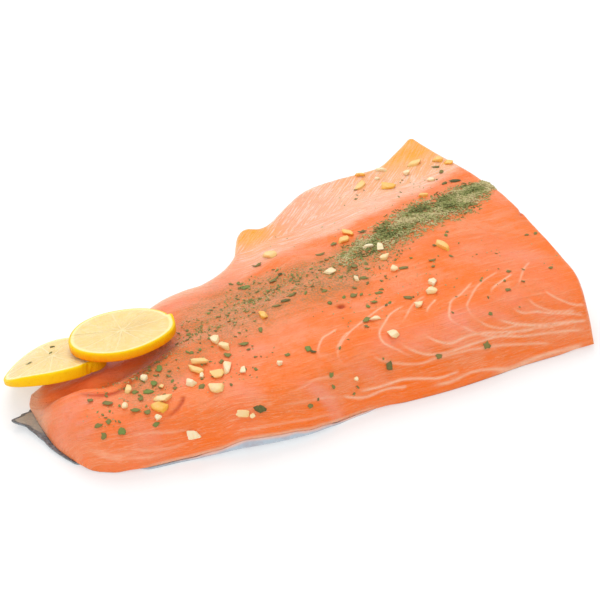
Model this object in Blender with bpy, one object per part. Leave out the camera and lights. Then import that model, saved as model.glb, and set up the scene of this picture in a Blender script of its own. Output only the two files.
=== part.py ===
"""A seasoned piece of salmon fillet lying on its skin, with two lemon slices on its narrow end.

All sizes below are in millimetres. +X runs along the fillet from the narrow tail end to the wide cut end,
+Y from the thick loin edge to the thin belly edge, and +Z up from the table.
The flesh, with the garlic and herbs fused to it, the skin and each lemon slice are solids of their own.
"""

import math
import random

import bmesh
import bpy
from mathutils import Matrix, Vector, noise
from mathutils.bvhtree import BVHTree

MM = 0.001

# Outline of the flesh, seen from above. Each edge is a smooth curve through its points.
LOIN_EDGE = (
    (-136.5, -47.5), (-130, -52.5), (-119, -57.8), (-106, -61.8), (-92, -67), (-58, -79.3), (-26, -83),
    (11, -92.6), (35, -97.2), (55, -100.3), (88.5, -108),
)
WIDE_END = (
    (88.5, -108), (94.5, -97.5), (104.5, -79), (112, -53.5), (122, -21), (131.5, 11), (134.5, 47),
    (131.5, 78),
)
BELLY_EDGE = (
    (-137.5, 11.5), (-122, 16), (-95, 22.5), (-77, 28.5), (-60, 33), (-46, 33), (-36, 31.3), (-22, 35),
    (-10.5, 42), (-3, 51), (2, 57), (7, 59), (13, 55.6), (21, 56.8), (36, 64.3), (54, 71), (71, 70.4),
    (87, 67.8), (100, 67), (114, 71.5), (131.5, 78),
)
TAIL_END = (
    (-136.5, -47.5), (-140.3, -42.5), (-142.8, -34.5), (-144.6, -25), (-144.2, -13), (-143, -3), (-141.6, 5),
    (-137.5, 11.5),
)

# Thickness of the flesh. Each table gives a value at places along X, in order.
LOIN_THICKNESS = ((-143, 20), (-110, 22), (-60, 24), (0, 25), (60, 26), (105, 22), (132, 18))
BELLY_THICKNESS = ((-143, 5), (-85, 6), (-50, 9), (20, 8), (100, 8), (132, 9))
LOIN_CREST = 0.45
BELLY_START = 0.93
MIDLINE = (
    (-143, -2), (-128, -9), (-116, -17), (-101, -15), (-84, -11.5), (-33, -6), (0, -3.5), (51, 3.5), (132, 9),
)
MIDLINE_DEPTH = ((-143, 2.5), (-118, 5), (-95, 4.4), (-70, 2.2), (-40, 1.2), (132, 0.8))
MIDLINE_WIDTH = ((-143, 5), (-100, 7), (-40, 9), (132, 11))
LOIN_ROUNDING = ((-143, 20), (-80, 20), (0, 27), (60, 34), (132, 30))
BELLY_ROUNDING = 6
TAIL_ROUNDING = 16
CUT_ROUNDING = 5
BELLY_CORNER = (131.5, 78)
BELLY_CORNER_CURL = 3.0
BELLY_CORNER_REACH = 24
SWELL_HEIGHT = 0.9
SWELL_LENGTH = 34

# The skin under the flesh, and how high the flesh's lower rim stands along each edge.
SKIN_THICKNESS = 1.0
SKIN_GAP = 0.3
FLESH_BASE = SKIN_THICKNESS + SKIN_GAP
FLUSH_RIM = FLESH_BASE + 0.05
DROOPED_RIM = 0.5
LOIN_RIM = (
    (-132, DROOPED_RIM), (-125, FLUSH_RIM), (-104, 1.7), (-92, 2.8), (-80, 5.9), (-62, 5.2), (-50, 3.2),
    (-34, FLUSH_RIM), (-16, FLUSH_RIM), (-6, DROOPED_RIM), (70, DROOPED_RIM), (80, FLUSH_RIM),
)
BELLY_RIM = (
    (-137, FLUSH_RIM), (-126, FLUSH_RIM), (-120, DROOPED_RIM), (100, DROOPED_RIM), (112, FLUSH_RIM),
)
TAIL_RIM = ((-46, DROOPED_RIM), (-41, FLUSH_RIM), (-20, FLUSH_RIM), (-9, 1.8))
HIDDEN_SKIN_REACH = -1.8
LOIN_SKIN_REACH = (
    (-125, HIDDEN_SKIN_REACH), (-118, 0.25), (-104, 0.3), (-88, 0.9), (-60, 0.9), (-40, 0.5), (-26, 0.2),
    (-16, HIDDEN_SKIN_REACH),
)
TAIL_SKIN_REACH = (
    (-41, HIDDEN_SKIN_REACH), (-36, 0.8), (-31, 1.2), (-19, 2.4), (-14, 3.6), (-8, 6.2), (-2.7, 11.8), (0, 6),
    (2.5, 1), (5, HIDDEN_SKIN_REACH),
)
FLAP_CURL = 0.28
FLANK_LEAN = 0.3
UNDERCUT = 2.6

# The two lemon slices: middle of the upper face, size, tilt and bend. A slice's own first axis lies at TURN
# to +X. "rise" is how steeply it climbs along its two axes, and "bend" how its two ends curl down.
LEMON_TURN = -36
LEMON_CLEARANCE = 0.5
LOWER_LEMON = {
    "middle": (-125, 13, 17), "radius": 23, "thickness": 5.8, "rise": (0.2, -0.34), "bend": (0.0105, 0.006),
}
UPPER_LEMON = {
    "middle": (-95, 2, 24), "radius": 24, "thickness": 4.4, "rise": (0.13, -0.24), "bend": (0.0, 0.0),
}
LEMON_SIDES = 30
RIND_ROUNDING = 0.8
RIND_WAVE = 0.35

# Garlic chips in patches: x, y, how far the chips lie from there, and how many.
GARLIC_PATCHES = (
    (-104, -45, 4, 2), (-110, -29, 1, 1), (-99, -61, 0, 1), (-88, -42, 0, 1), (-78, -42, 9, 5),
    (-64, -28, 3, 2), (-78, -67, 0, 1), (-38, -24, 0, 1), (7, -14, 0, 1), (1, -69, 0, 1), (35, -55, 4, 2),
    (60, -32, 0, 1), (36, -14, 8, 3), (38, 15, 5, 2), (3, 30, 0, 1), (85, 52, 7, 2), (113, 56, 6, 2),
)
GARLIC_LENGTH = (4.2, 6.8)
GARLIC_HEIGHT = (1.4, 2.2)

# Herb flakes in patches: x, y, reach along X, reach along Y, and how many.
HERB_PATCHES = (
    (-112, -38, 18, 10, 6), (-94, -25, 9, 5, 3), (-70, -45, 14, 14, 4), (-40, -52, 16, 14, 3),
    (-20, 0, 14, 16, 5), (6, -24, 16, 16, 5), (30, -45, 28, 12, 4), (62, -72, 28, 12, 3), (-12, 24, 12, 8, 2),
)
HERB_LENGTH = (3.6, 6.0)
HERB_HEIGHT = (0.6, 1.0)

# The heap of dried dill along the midline: x, y and half width, along its middle.
DILL_BAND = ((20, -15, 3), (36, -12, 8), (52, -7, 12), (76, -2, 15), (98, -2, 16), (122, 4, 13))
DILL_CLUMPS = 34
DILL_LENGTH = (6.0, 9.0)
DILL_HEIGHT = (1.0, 1.8)

CRUMB_SIDES = 5
CRUMB_SINK = 0.9
TOPPING_SEED = 11

FLESH_COLOUR = (0.93, 0.26, 0.1)
SKIN_COLOUR = (0.36, 0.42, 0.47)
LEMON_COLOUR = (0.9, 0.66, 0.1)
SHARP_ANGLE = 40

# Fineness of the flesh's top and of the skin, in faces.
FACES_ALONG = 44
FACES_ACROSS = 26
UNDERSIDE_TURNS = (0, 30, 60, 90)
CORNER_SOFTENING = 12


def between(table, key):
    """The value of a (place, value) table at a place, eased between its entries and held past its ends."""
    if key <= table[0][0]:
        return table[0][1]
    for (low, first), (high, second) in zip(table, table[1:]):
        if key <= high:
            share = (key - low) / (high - low)
            return first + (second - first) * share * share * (3 - 2 * share)
    return table[-1][1]


def smoothstep(low, high, value):
    share = min(1.0, max(0.0, (value - low) / (high - low)))
    return share * share * (3 - 2 * share)


def rounded(distance, radius):
    """Quarter-round profile: 0 at an edge, 1 from the radius inwards."""
    inward = min(1.0, max(0.0, distance / radius))
    return math.sqrt(1 - (1 - inward) ** 2)


class SmoothEdge:
    """A smooth curve through points, read at equal shares of its length."""

    STEPS = 12

    def __init__(self, points):
        knots = [Vector(p) for p in points]
        knots = [2 * knots[0] - knots[1], *knots, 2 * knots[-1] - knots[-2]]
        self.line = [knots[1]]
        for before, start, end, after in zip(knots, knots[1:], knots[2:], knots[3:]):
            for step in range(1, self.STEPS + 1):
                t = step / self.STEPS
                self.line.append(
                    0.5 * (2 * start + (end - before) * t + (2 * before - 5 * start + 4 * end - after) * t**2
                           + (3 * start - before - 3 * end + after) * t**3)
                )
        self.lengths = [0.0]
        for start, end in zip(self.line, self.line[1:]):
            self.lengths.append(self.lengths[-1] + (end - start).length)

    def at(self, share):
        target = share * self.lengths[-1]
        for i, reached in enumerate(self.lengths[1:]):
            if reached >= target:
                step = (target - self.lengths[i]) / (reached - self.lengths[i])
                return self.line[i].lerp(self.line[i + 1], step)
        return self.line[-1]


class Outline:
    """The flesh seen from above, as a patch stretched between its four edges."""

    def __init__(self):
        self.loin = SmoothEdge(LOIN_EDGE)
        self.belly = SmoothEdge(BELLY_EDGE)
        self.tail = SmoothEdge(TAIL_END)
        self.wide = SmoothEdge(WIDE_END)

    def point(self, along, across):
        loin, belly = self.loin.at(along), self.belly.at(along)
        tail, wide = self.tail.at(across), self.wide.at(across)
        corners = (
            (1 - along) * (1 - across) * self.loin.at(0) + along * (1 - across) * self.loin.at(1)
            + (1 - along) * across * self.belly.at(0) + along * across * self.belly.at(1)
        )
        return (1 - across) * loin + across * belly + (1 - along) * tail + along * wide - corners

    def edge_distances(self, along, across):
        """Distances to the loin, belly, tail and wide edges, in that order."""
        width = (self.belly.at(along) - self.loin.at(along)).length
        length = (self.wide.at(across) - self.tail.at(across)).length
        return across * width, (1 - across) * width, along * length, (1 - along) * length


def rim_height(place, along, across):
    """Height of the lower rim of the flesh near a place of its outline."""
    loin = between(LOIN_RIM, place.x)
    belly = between(BELLY_RIM, place.x)
    from_loin = (1 - across) ** 3
    side = loin * from_loin + belly * (1 - from_loin)
    near_tail = (1 - along) ** 24 if across > 0 else 0.0
    return side + (between(TAIL_RIM, place.y) - side) * near_tail


def swell(place):
    """Soft unevenness of the flesh, between -1 and 1."""
    return noise.noise(Vector((place.x / SWELL_LENGTH, place.y / SWELL_LENGTH, 0.5)))


def top_height(outline, along, across):
    """Height of the top of the flesh above the table."""
    place = outline.point(along, across)
    to_loin, to_belly, to_tail, to_wide = outline.edge_distances(along, across)
    loin, belly = between(LOIN_THICKNESS, place.x), between(BELLY_THICKNESS, place.x)
    body = loin + (belly - loin) * smoothstep(LOIN_CREST, BELLY_START, across)
    offset = (place.y - between(MIDLINE, place.x)) / between(MIDLINE_WIDTH, place.x)
    body -= between(MIDLINE_DEPTH, place.x) * math.exp(-offset * offset)
    body += SWELL_HEIGHT * swell(place)
    corner = (place - Vector(BELLY_CORNER)).length / BELLY_CORNER_REACH
    body += BELLY_CORNER_CURL * max(0.0, 1 - corner) ** 2
    fullness = (
        rounded(to_loin, between(LOIN_ROUNDING, place.x))
        * rounded(to_belly, BELLY_ROUNDING)
        * rounded(to_tail, TAIL_ROUNDING)
        * rounded(to_wide, CUT_ROUNDING)
    )
    rim = rim_height(place, along, across)
    return rim + (body - rim) * fullness


def crowded_to_ends(count, strength):
    """Shares from 0 to 1 that lie closer together towards both ends."""
    for i in range(count + 1):
        share = i / count
        yield share + strength * ((1 - math.cos(math.pi * share)) / 2 - share)


def skin_reach(place, edge):
    """How far the skin stands out past the flesh, or stays short of it where negative."""
    if edge == "loin":
        return between(LOIN_SKIN_REACH, place.x)
    if edge == "tail":
        return between(TAIL_SKIN_REACH, place.y)
    return HIDDEN_SKIN_REACH


class Rim:
    """One point of the flesh's outline, with what the underside and the skin need to know there."""

    def __init__(self, place, height, reach):
        self.place = place
        self.height = height
        self.reach = reach
        self.inward = Vector((0, 0))
        self.flank = height - FLESH_BASE
        self.undercut = max(UNDERCUT, FLANK_LEAN * self.flank)

    def at(self, inward, height):
        spot = self.place + self.inward * inward
        return Vector((spot.x, spot.y, height))

    def flesh_ring(self, turn):
        """A point of the flesh's lower side, turned in from the rim towards the flat underside."""
        return self.at(self.undercut * (1 - math.cos(turn)), self.height - self.flank * math.sin(turn))

    def skin_ring(self, turn, depth):
        """A point of the skin at a depth below the flesh: along the flank where there is one, else flat."""
        wrapped = self.at(
            self.undercut - (self.undercut + depth) * math.cos(turn),
            self.height - (self.flank + depth) * math.sin(turn),
        )
        inward = self.undercut - (self.undercut + self.reach) * math.cos(turn)
        lifted = FLAP_CURL * max(0.0, -inward)
        flat = self.at(inward, FLESH_BASE - depth + lifted)
        return flat.lerp(wrapped, smoothstep(0.3, 1.2, self.flank))


def rims_of(outline, along_shares, across_shares):
    """The rim points round the outline, anticlockwise from the corner of tail and loin."""
    last_along, last_across = len(along_shares) - 1, len(across_shares) - 1
    cells = [(i, 0, "loin") for i in range(last_along)]
    cells += [(last_along, j, "wide") for j in range(last_across)]
    cells += [(i, last_across, "belly") for i in range(last_along, 0, -1)]
    cells += [(0, j, "tail") for j in range(last_across, 0, -1)]
    rims = []
    for i, j, edge in cells:
        along, across = along_shares[i], across_shares[j]
        place = outline.point(along, across)
        height = top_height(outline, along, across)
        rims.append(Rim(place, height, skin_reach(place, edge)))
    count = len(rims)
    for i, rim in enumerate(rims):
        ahead = (rims[(i + 1) % count].place - rim.place).normalized()
        behind = (rim.place - rims[i - 1].place).normalized()
        run = (ahead + behind).normalized()
        rim.inward = Vector((-run.y, run.x))
    for _ in range(CORNER_SOFTENING):
        mixed = [rims[i - 1].inward + rims[i].inward * 2 + rims[(i + 1) % count].inward for i in range(count)]
        for rim, inward in zip(rims, mixed):
            rim.inward = inward / 4
    return rims, [(i, j) for i, j, _ in cells]


def join_rings(shape, outer, inner):
    count = len(outer)
    for i in range(count):
        shape.faces.new((outer[i], outer[(i + 1) % count], inner[(i + 1) % count], inner[i]))


def flesh_shape(outline, along_shares, across_shares, rims, cells):
    """The bare flesh: a grid for its top, rings for its underside and one flat face under the middle."""
    shape = bmesh.new()
    grid = {}
    for i, along in enumerate(along_shares):
        for j, across in enumerate(across_shares):
            place = outline.point(along, across)
            grid[i, j] = shape.verts.new((place.x, place.y, top_height(outline, along, across)))
    for i in range(len(along_shares) - 1):
        for j in range(len(across_shares) - 1):
            shape.faces.new((grid[i, j], grid[i + 1, j], grid[i + 1, j + 1], grid[i, j + 1]))
    ring = [grid[cell] for cell in cells]
    for turn in UNDERSIDE_TURNS[1:]:
        inner = [shape.verts.new(rim.flesh_ring(math.radians(turn))) for rim in rims]
        join_rings(shape, inner, ring)
        ring = inner
    shape.faces.new(ring[::-1])
    shape.normal_update()
    return shape


def skin_shape(rims):
    """The skin: a thin closed shell under the flesh, up its loin flank and out past its tail end."""
    shape = bmesh.new()
    upper, lower = (
        [
            [shape.verts.new(rim.skin_ring(math.radians(turn), depth)) for rim in rims]
            for turn in UNDERSIDE_TURNS
        ]
        for depth in (SKIN_GAP, SKIN_GAP + SKIN_THICKNESS)
    )
    for outer, inner in zip(upper, upper[1:]):
        join_rings(shape, outer, inner)
    shape.faces.new(upper[-1])
    join_rings(shape, lower[0], upper[0])
    for outer, inner in zip(lower, lower[1:]):
        join_rings(shape, inner, outer)
    shape.faces.new(lower[-1][::-1])
    shape.normal_update()
    return shape


def lemon_shape(middle, radius, thickness, rise, bend):
    """A round slice, tilted and bent, with a slightly wavy rim and rounded rind."""
    turn = math.radians(LEMON_TURN)
    first = Vector((math.cos(turn), math.sin(turn), rise[0])).normalized()
    heading = Vector((-math.sin(turn), math.cos(turn), rise[1]))
    upward = first.cross(heading).normalized()
    second = upward.cross(first)

    def ring(reach, depth):
        made = []
        for side in range(LEMON_SIDES):
            angle = 2 * math.pi * side / LEMON_SIDES
            wave = RIND_WAVE * (math.sin(3 * angle + 1) + 0.6 * math.sin(5 * angle + 2))
            out = reach / radius * (radius + wave)
            a, b = out * math.cos(angle), out * math.sin(angle)
            drop = depth + bend[a > 0] * a * a
            made.append(shape.verts.new(Vector(middle) + first * a + second * b - upward * drop))
        return made

    shape = bmesh.new()
    edge = RIND_ROUNDING
    levels = (
        (0.5 * radius, 0), (radius - 1.2 * edge, 0), (radius - 0.3 * edge, 0.3 * edge), (radius, 1.2 * edge),
        (radius, thickness - 1.2 * edge), (radius - 0.3 * edge, thickness - 0.3 * edge),
        (radius - 1.2 * edge, thickness), (0.5 * radius, thickness),
    )
    rings = [ring(*level) for level in levels]
    for above, below in zip(rings, rings[1:]):
        join_rings(shape, below, above)
    for end, depth in ((rings[0], 0), (rings[-1][::-1], thickness)):
        hub = shape.verts.new(Vector(middle) - upward * depth)
        for i in range(LEMON_SIDES):
            shape.faces.new((hub, end[i], end[(i + 1) % LEMON_SIDES]))
    shape.normal_update()
    return shape


def settle(shape, support):
    """Moves a shape straight up or down until it just clears the support and the table."""
    below = BVHTree.FromBMesh(support)
    own = BVHTree.FromBMesh(shape)
    up, down = Vector((0, 0, 1)), Vector((0, 0, -1))
    gaps = [vert.co.z for vert in shape.verts]
    for vert in shape.verts:
        spot = below.ray_cast(Vector((vert.co.x, vert.co.y, 100)), down)[0]
        if spot:
            gaps.append(vert.co.z - spot.z)
    for vert in support.verts:
        spot = own.ray_cast(Vector((vert.co.x, vert.co.y, -100)), up)[0]
        if spot:
            gaps.append(spot.z - vert.co.z)
    lift = LEMON_CLEARANCE - min(gaps)
    bmesh.ops.translate(shape, vec=(0, 0, lift), verts=shape.verts)


def joined(*shapes):
    """A bmesh that holds copies of several others."""
    whole = bmesh.new()
    for shape in shapes:
        copies = {vert: whole.verts.new(vert.co) for vert in shape.verts}
        for face in shape.faces:
            whole.faces.new([copies[vert] for vert in face.verts])
    return whole


class Toppings:
    """Garlic chips, herb flakes and dill clumps, set out on the flesh by patches with seeded draws."""

    def __init__(self, flesh, slices):
        self.ground = BVHTree.FromBMesh(flesh)
        self.slices = BVHTree.FromBMesh(slices)
        self.draw = random.Random(TOPPING_SEED)
        self.placed = []
        self.shapes = []

    def surface(self, x, y):
        spot, normal, _, _ = self.ground.ray_cast(Vector((x, y, 100)), Vector((0, 0, -1)))
        return spot, normal

    def has_room(self, spot, reach, spacing):
        """True where a crumb lies on the flesh's upper side, clear of the slices and of the others."""
        for step in range(4):
            angle = step * math.pi / 2
            corner, normal = self.surface(spot.x + reach * math.cos(angle), spot.y + reach * math.sin(angle))
            if corner is None or normal.z < 0.5 or corner.z < 5:
                return False
        if self.slices.find_nearest(spot)[3] < reach + 3:
            return False
        return all((spot - other).length > spacing * (reach + size) for other, size in self.placed)

    def crumb(self, spot, normal, length, width, height, turn):
        """An irregular chunk with a smaller top, sunk a little into the flesh."""
        up = (normal + Vector((0, 0, 1))).normalized()
        forward = Vector((math.cos(turn), math.sin(turn), 0))
        side = up.cross(forward).normalized()
        forward = side.cross(up)
        shape = bmesh.new()
        rings = []
        for level, share in ((-CRUMB_SINK, 1.0), (height, 0.74)):
            ring = []
            for step in range(CRUMB_SIDES):
                angle = 2 * math.pi * (step + self.draw.uniform(-0.2, 0.2)) / CRUMB_SIDES
                a = share * length / 2 * math.cos(angle)
                b = share * width / 2 * math.sin(angle)
                ring.append(shape.verts.new(spot + forward * a + side * b + up * level))
            rings.append(ring)
        join_rings(shape, *rings)
        shape.faces.new(rings[0][::-1])
        shape.faces.new(rings[1])
        self.shapes.append(shape)

    def lay(self, x, y, lengths, slimness, heights, spacing):
        """Lays one crumb of a random size at a place, if there is room."""
        spot, normal = self.surface(x, y)
        length = self.draw.uniform(*lengths)
        if spot is None or not self.has_room(spot, length / 2, spacing):
            return False
        width = length * self.draw.uniform(*slimness)
        turn = self.draw.uniform(0, math.pi)
        self.crumb(spot, normal, length, width, self.draw.uniform(*heights), turn)
        self.placed.append((spot, length / 2))
        return True

    def lay_patch(self, x, y, reach_x, reach_y, count, *sizes):
        tries = 0
        while count and tries < 200:
            tries += 1
            angle, out = self.draw.uniform(0, 2 * math.pi), math.sqrt(self.draw.random())
            spot_x, spot_y = x + reach_x * out * math.cos(angle), y + reach_y * out * math.sin(angle)
            count -= self.lay(spot_x, spot_y, *sizes)

    def lay_all(self):
        for x, y, reach, count in GARLIC_PATCHES:
            self.lay_patch(x, y, reach, reach, count, GARLIC_LENGTH, (0.6, 0.8), GARLIC_HEIGHT, 1.0)
        middle = [(x, y) for x, y, _ in DILL_BAND]
        half_width = [(x, half) for x, _, half in DILL_BAND]
        for clump in range(DILL_CLUMPS):
            share = math.sqrt((clump + 0.5) / DILL_CLUMPS)
            x = DILL_BAND[0][0] + share * (DILL_BAND[-1][0] - DILL_BAND[0][0])
            y = between(middle, x) + between(half_width, x) * self.draw.uniform(-1, 1)
            self.lay(x, y, DILL_LENGTH, (0.6, 0.9), DILL_HEIGHT, 0.75)
        for x, y, reach_x, reach_y, count in HERB_PATCHES:
            self.lay_patch(x, y, reach_x, reach_y, count, HERB_LENGTH, (0.5, 0.8), HERB_HEIGHT, 1.1)
        return self.shapes


def object_from(shape, name):
    """Turns a bmesh into a named object."""
    mesh = bpy.data.meshes.new(name)
    shape.to_mesh(mesh)
    shape.free()
    made = bpy.data.objects.new(name, mesh)
    bpy.context.scene.collection.objects.link(made)
    return made


def fuse(base, pieces):
    """Joins pieces to a base object by one Boolean union, and removes the pieces."""
    heap = bpy.data.collections.new("toppings")
    for piece in pieces:
        heap.objects.link(piece)
    union = base.modifiers.new("fuse_toppings", "BOOLEAN")
    union.operation = "UNION"
    union.operand_type = "COLLECTION"
    union.collection = heap
    union.solver = "EXACT"
    fused = bpy.data.meshes.new_from_object(base.evaluated_get(bpy.context.evaluated_depsgraph_get()))
    base.modifiers.remove(union)
    base.data = fused
    for piece in pieces:
        bpy.data.objects.remove(piece)
    bpy.data.collections.remove(heap)


def dress(thing, colour, roughness):
    """Gives an object its own material."""
    material = bpy.data.materials.new(thing.name)
    material.use_nodes = True
    shader = material.node_tree.nodes["Principled BSDF"]
    shader.inputs["Base Color"].default_value = (*colour, 1)
    shader.inputs["Roughness"].default_value = roughness
    shader.inputs["Metallic"].default_value = 0
    thing.data.materials.clear()
    thing.data.materials.append(material)


def bring_to_origin(things):
    """Sets the objects' middle, at table height, on the origin, in metres and shaded smooth."""
    corners = [vert.co for thing in things for vert in thing.data.vertices]
    low = Vector([min(corner[axis] for corner in corners) for axis in range(3)])
    high = Vector([max(corner[axis] for corner in corners) for axis in range(3)])
    middle = Vector(((low.x + high.x) / 2, (low.y + high.y) / 2, low.z))
    for thing in things:
        thing.data.transform(Matrix.Scale(MM, 4) @ Matrix.Translation(-middle))
        thing.data.shade_smooth()
        thing.data.set_sharp_from_angle(angle=math.radians(SHARP_ANGLE))


def main():
    for old in list(bpy.data.objects):
        bpy.data.objects.remove(old)
    outline = Outline()
    along_shares = list(crowded_to_ends(FACES_ALONG, 0.75))
    across_shares = list(crowded_to_ends(FACES_ACROSS, 0.85))
    rims, cells = rims_of(outline, along_shares, across_shares)
    flesh = flesh_shape(outline, along_shares, across_shares, rims, cells)
    skin = skin_shape(rims)
    lower = lemon_shape(**LOWER_LEMON)
    settle(lower, joined(flesh, skin))
    upper = lemon_shape(**UPPER_LEMON)
    settle(upper, joined(flesh, lower))
    crumbs = Toppings(flesh, joined(lower, upper)).lay_all()

    flesh = object_from(flesh, "flesh")
    fuse(flesh, [object_from(crumb, "crumb") for crumb in crumbs])
    skin = object_from(skin, "skin")
    lower = object_from(lower, "lemon_slice_lower")
    upper = object_from(upper, "lemon_slice_upper")
    dress(flesh, FLESH_COLOUR, 0.35)
    dress(skin, SKIN_COLOUR, 0.3)
    dress(lower, LEMON_COLOUR, 0.4)
    dress(upper, LEMON_COLOUR, 0.4)
    bring_to_origin([flesh, skin, lower, upper])


main()
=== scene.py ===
"""The looks of a seasoned piece of salmon fillet with two lemon slices on its narrow end.

Sizes are in millimetres on the fillet's own plan: +x runs along it from the narrow tail end to the wide
cut end, +y from the thick loin edge to the thin belly edge, and z is the height above the table. The plan
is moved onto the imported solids, in metres, only when a mesh is made.
"""

import logging
import math
import random
from dataclasses import dataclass, field
from enum import Enum

import bpy
import numpy as np
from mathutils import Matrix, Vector, noise
from mathutils.bvhtree import BVHTree


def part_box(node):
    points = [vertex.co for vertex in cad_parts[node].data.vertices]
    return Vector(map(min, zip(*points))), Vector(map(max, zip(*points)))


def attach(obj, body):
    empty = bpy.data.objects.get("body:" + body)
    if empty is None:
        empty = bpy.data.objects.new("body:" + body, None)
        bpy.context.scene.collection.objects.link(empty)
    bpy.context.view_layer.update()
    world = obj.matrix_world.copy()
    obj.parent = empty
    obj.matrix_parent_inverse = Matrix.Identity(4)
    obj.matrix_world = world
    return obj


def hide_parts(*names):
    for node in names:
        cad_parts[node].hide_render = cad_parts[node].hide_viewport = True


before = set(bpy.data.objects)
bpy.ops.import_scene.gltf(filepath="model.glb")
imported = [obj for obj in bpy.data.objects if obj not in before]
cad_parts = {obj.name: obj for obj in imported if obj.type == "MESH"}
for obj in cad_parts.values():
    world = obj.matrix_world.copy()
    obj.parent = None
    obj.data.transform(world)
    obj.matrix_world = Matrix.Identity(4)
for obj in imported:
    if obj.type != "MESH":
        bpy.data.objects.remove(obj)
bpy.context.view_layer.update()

log = logging.getLogger("salmon_fillet")

Array = np.ndarray
Table = tuple[tuple[float, float], ...]
Run = tuple[float, float, float, float]
Colour = tuple[float, float, float]
Socket = bpy.types.NodeSocket

MM = 0.001


# ---------------------------------------------------------------- measures


def between(table: Table, key: Array) -> Array:
    """Reads a (place, value) table, eased between its entries and held past its ends.

    Args:
        table: Places in rising order, each with its value.
        key: Places to read at.

    Returns:
        The values, in the shape of key.
    """
    places, values = (np.array(column, float) for column in zip(*table))
    held = np.clip(key, places[0], places[-1])
    cell = np.clip(np.searchsorted(places, held, side="right") - 1, 0, len(places) - 2)
    share = (held - places[cell]) / (places[cell + 1] - places[cell])
    return values[cell] + (values[cell + 1] - values[cell]) * share * share * (3 - 2 * share)


def smoothstep(low: float, high: float, value: Array) -> Array:
    """0 below low, 1 above high, and eased between them."""
    share = np.clip((value - low) / (high - low), 0.0, 1.0)
    return share * share * (3 - 2 * share)


def fade(low: float, high: float, value: Array) -> Array:
    """1 below low, 0 above high, and eased between them."""
    return 1 - smoothstep(low, high, value)


def window(value: Array, start: float, full: float, wane: float, end: float) -> Array:
    """Rises from 0 at start to 1 at full, and falls from 1 at wane to 0 at end."""
    return smoothstep(start, full, value) * fade(wane, end, value)


def hump(distance: Array) -> Array:
    """1 at no distance, falling off like a bell on both sides."""
    return np.exp(-(distance**2))


def around(count: int) -> Array:
    """Angles of a closed ring, in even steps."""
    return np.arange(count) / count * 2 * math.pi


def rounded(distance: Array, radius: Array) -> Array:
    """Quarter-round profile: 0 at an edge, 1 from the radius inwards."""
    return np.sqrt(1 - (1 - np.clip(distance / radius, 0.0, 1.0)) ** 2)


def wander(x: Array, y: Array, length: float, layer: float) -> Array:
    """Smooth unevenness between about -1 and 1.

    Args:
        x: Places across the first direction.
        y: Places across the second direction.
        length: Size of one hump.
        layer: Chooses one of many unlike fields.

    Returns:
        The unevenness at each place.
    """
    flat = [noise.noise(Vector((u, v, layer))) for u, v in zip((x / length).ravel(), (y / length).ravel())]
    return np.array(flat).reshape(x.shape)


def edge_crowded(count: int, band: float) -> Array:
    """Shares from 0 to 1 that lie evenly in the middle and ever closer towards both ends.

    Args:
        count: How many steps there are.
        band: Share of the steps that crowd at each end.

    Returns:
        The count + 1 shares.
    """
    step = np.arange(count + 1) / count
    low = step**2 / (2 * band)
    high = (1 - band) - (1 - step) ** 2 / (2 * band)
    middle = step - band / 2
    return np.where(step < band, low, np.where(step > 1 - band, high, middle)) / (1 - band)


def strewn(draw: random.Random, x: float, y: float, reach_x: float, reach_y: float) -> tuple[float, float]:
    """A random place in an oval, as likely near its edge as in its middle."""
    angle, out = draw.uniform(0, 2 * math.pi), math.sqrt(draw.random())
    return x + reach_x * out * math.cos(angle), y + reach_y * out * math.sin(angle)


def linked(name: str, data: bpy.types.ID) -> bpy.types.Object:
    """A new object of the scene that shows a mesh, a lamp or a camera."""
    made = bpy.data.objects.new(name, data)
    bpy.context.scene.collection.objects.link(made)
    return made


class SmoothEdge:
    """A smooth curve through points, read at shares of its length."""

    STEPS = 40

    def __init__(self, points: Table) -> None:
        """Lays the curve through the points, in order."""
        knots = np.array(points, float)
        knots = np.vstack([2 * knots[0] - knots[1], knots, 2 * knots[-1] - knots[-2]])
        t = np.arange(1, self.STEPS + 1)[:, None] / self.STEPS
        pieces = [knots[1:2]]
        for before, start, end, after in zip(knots, knots[1:], knots[2:], knots[3:]):
            pieces.append(
                0.5 * (2 * start + (end - before) * t + (2 * before - 5 * start + 4 * end - after) * t**2
                       + (3 * start - before - 3 * end + after) * t**3)
            )
        self.line = np.vstack(pieces)
        steps = np.linalg.norm(np.diff(self.line, axis=0), axis=1)
        self.lengths = np.concatenate([[0.0], np.cumsum(steps)])

    def at(self, shares: Array) -> Array:
        """The points at shares of the length, with x and y last."""
        reach = np.asarray(shares) * self.lengths[-1]
        return np.stack([np.interp(reach, self.lengths, self.line[:, axis]) for axis in (0, 1)], axis=-1)


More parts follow.
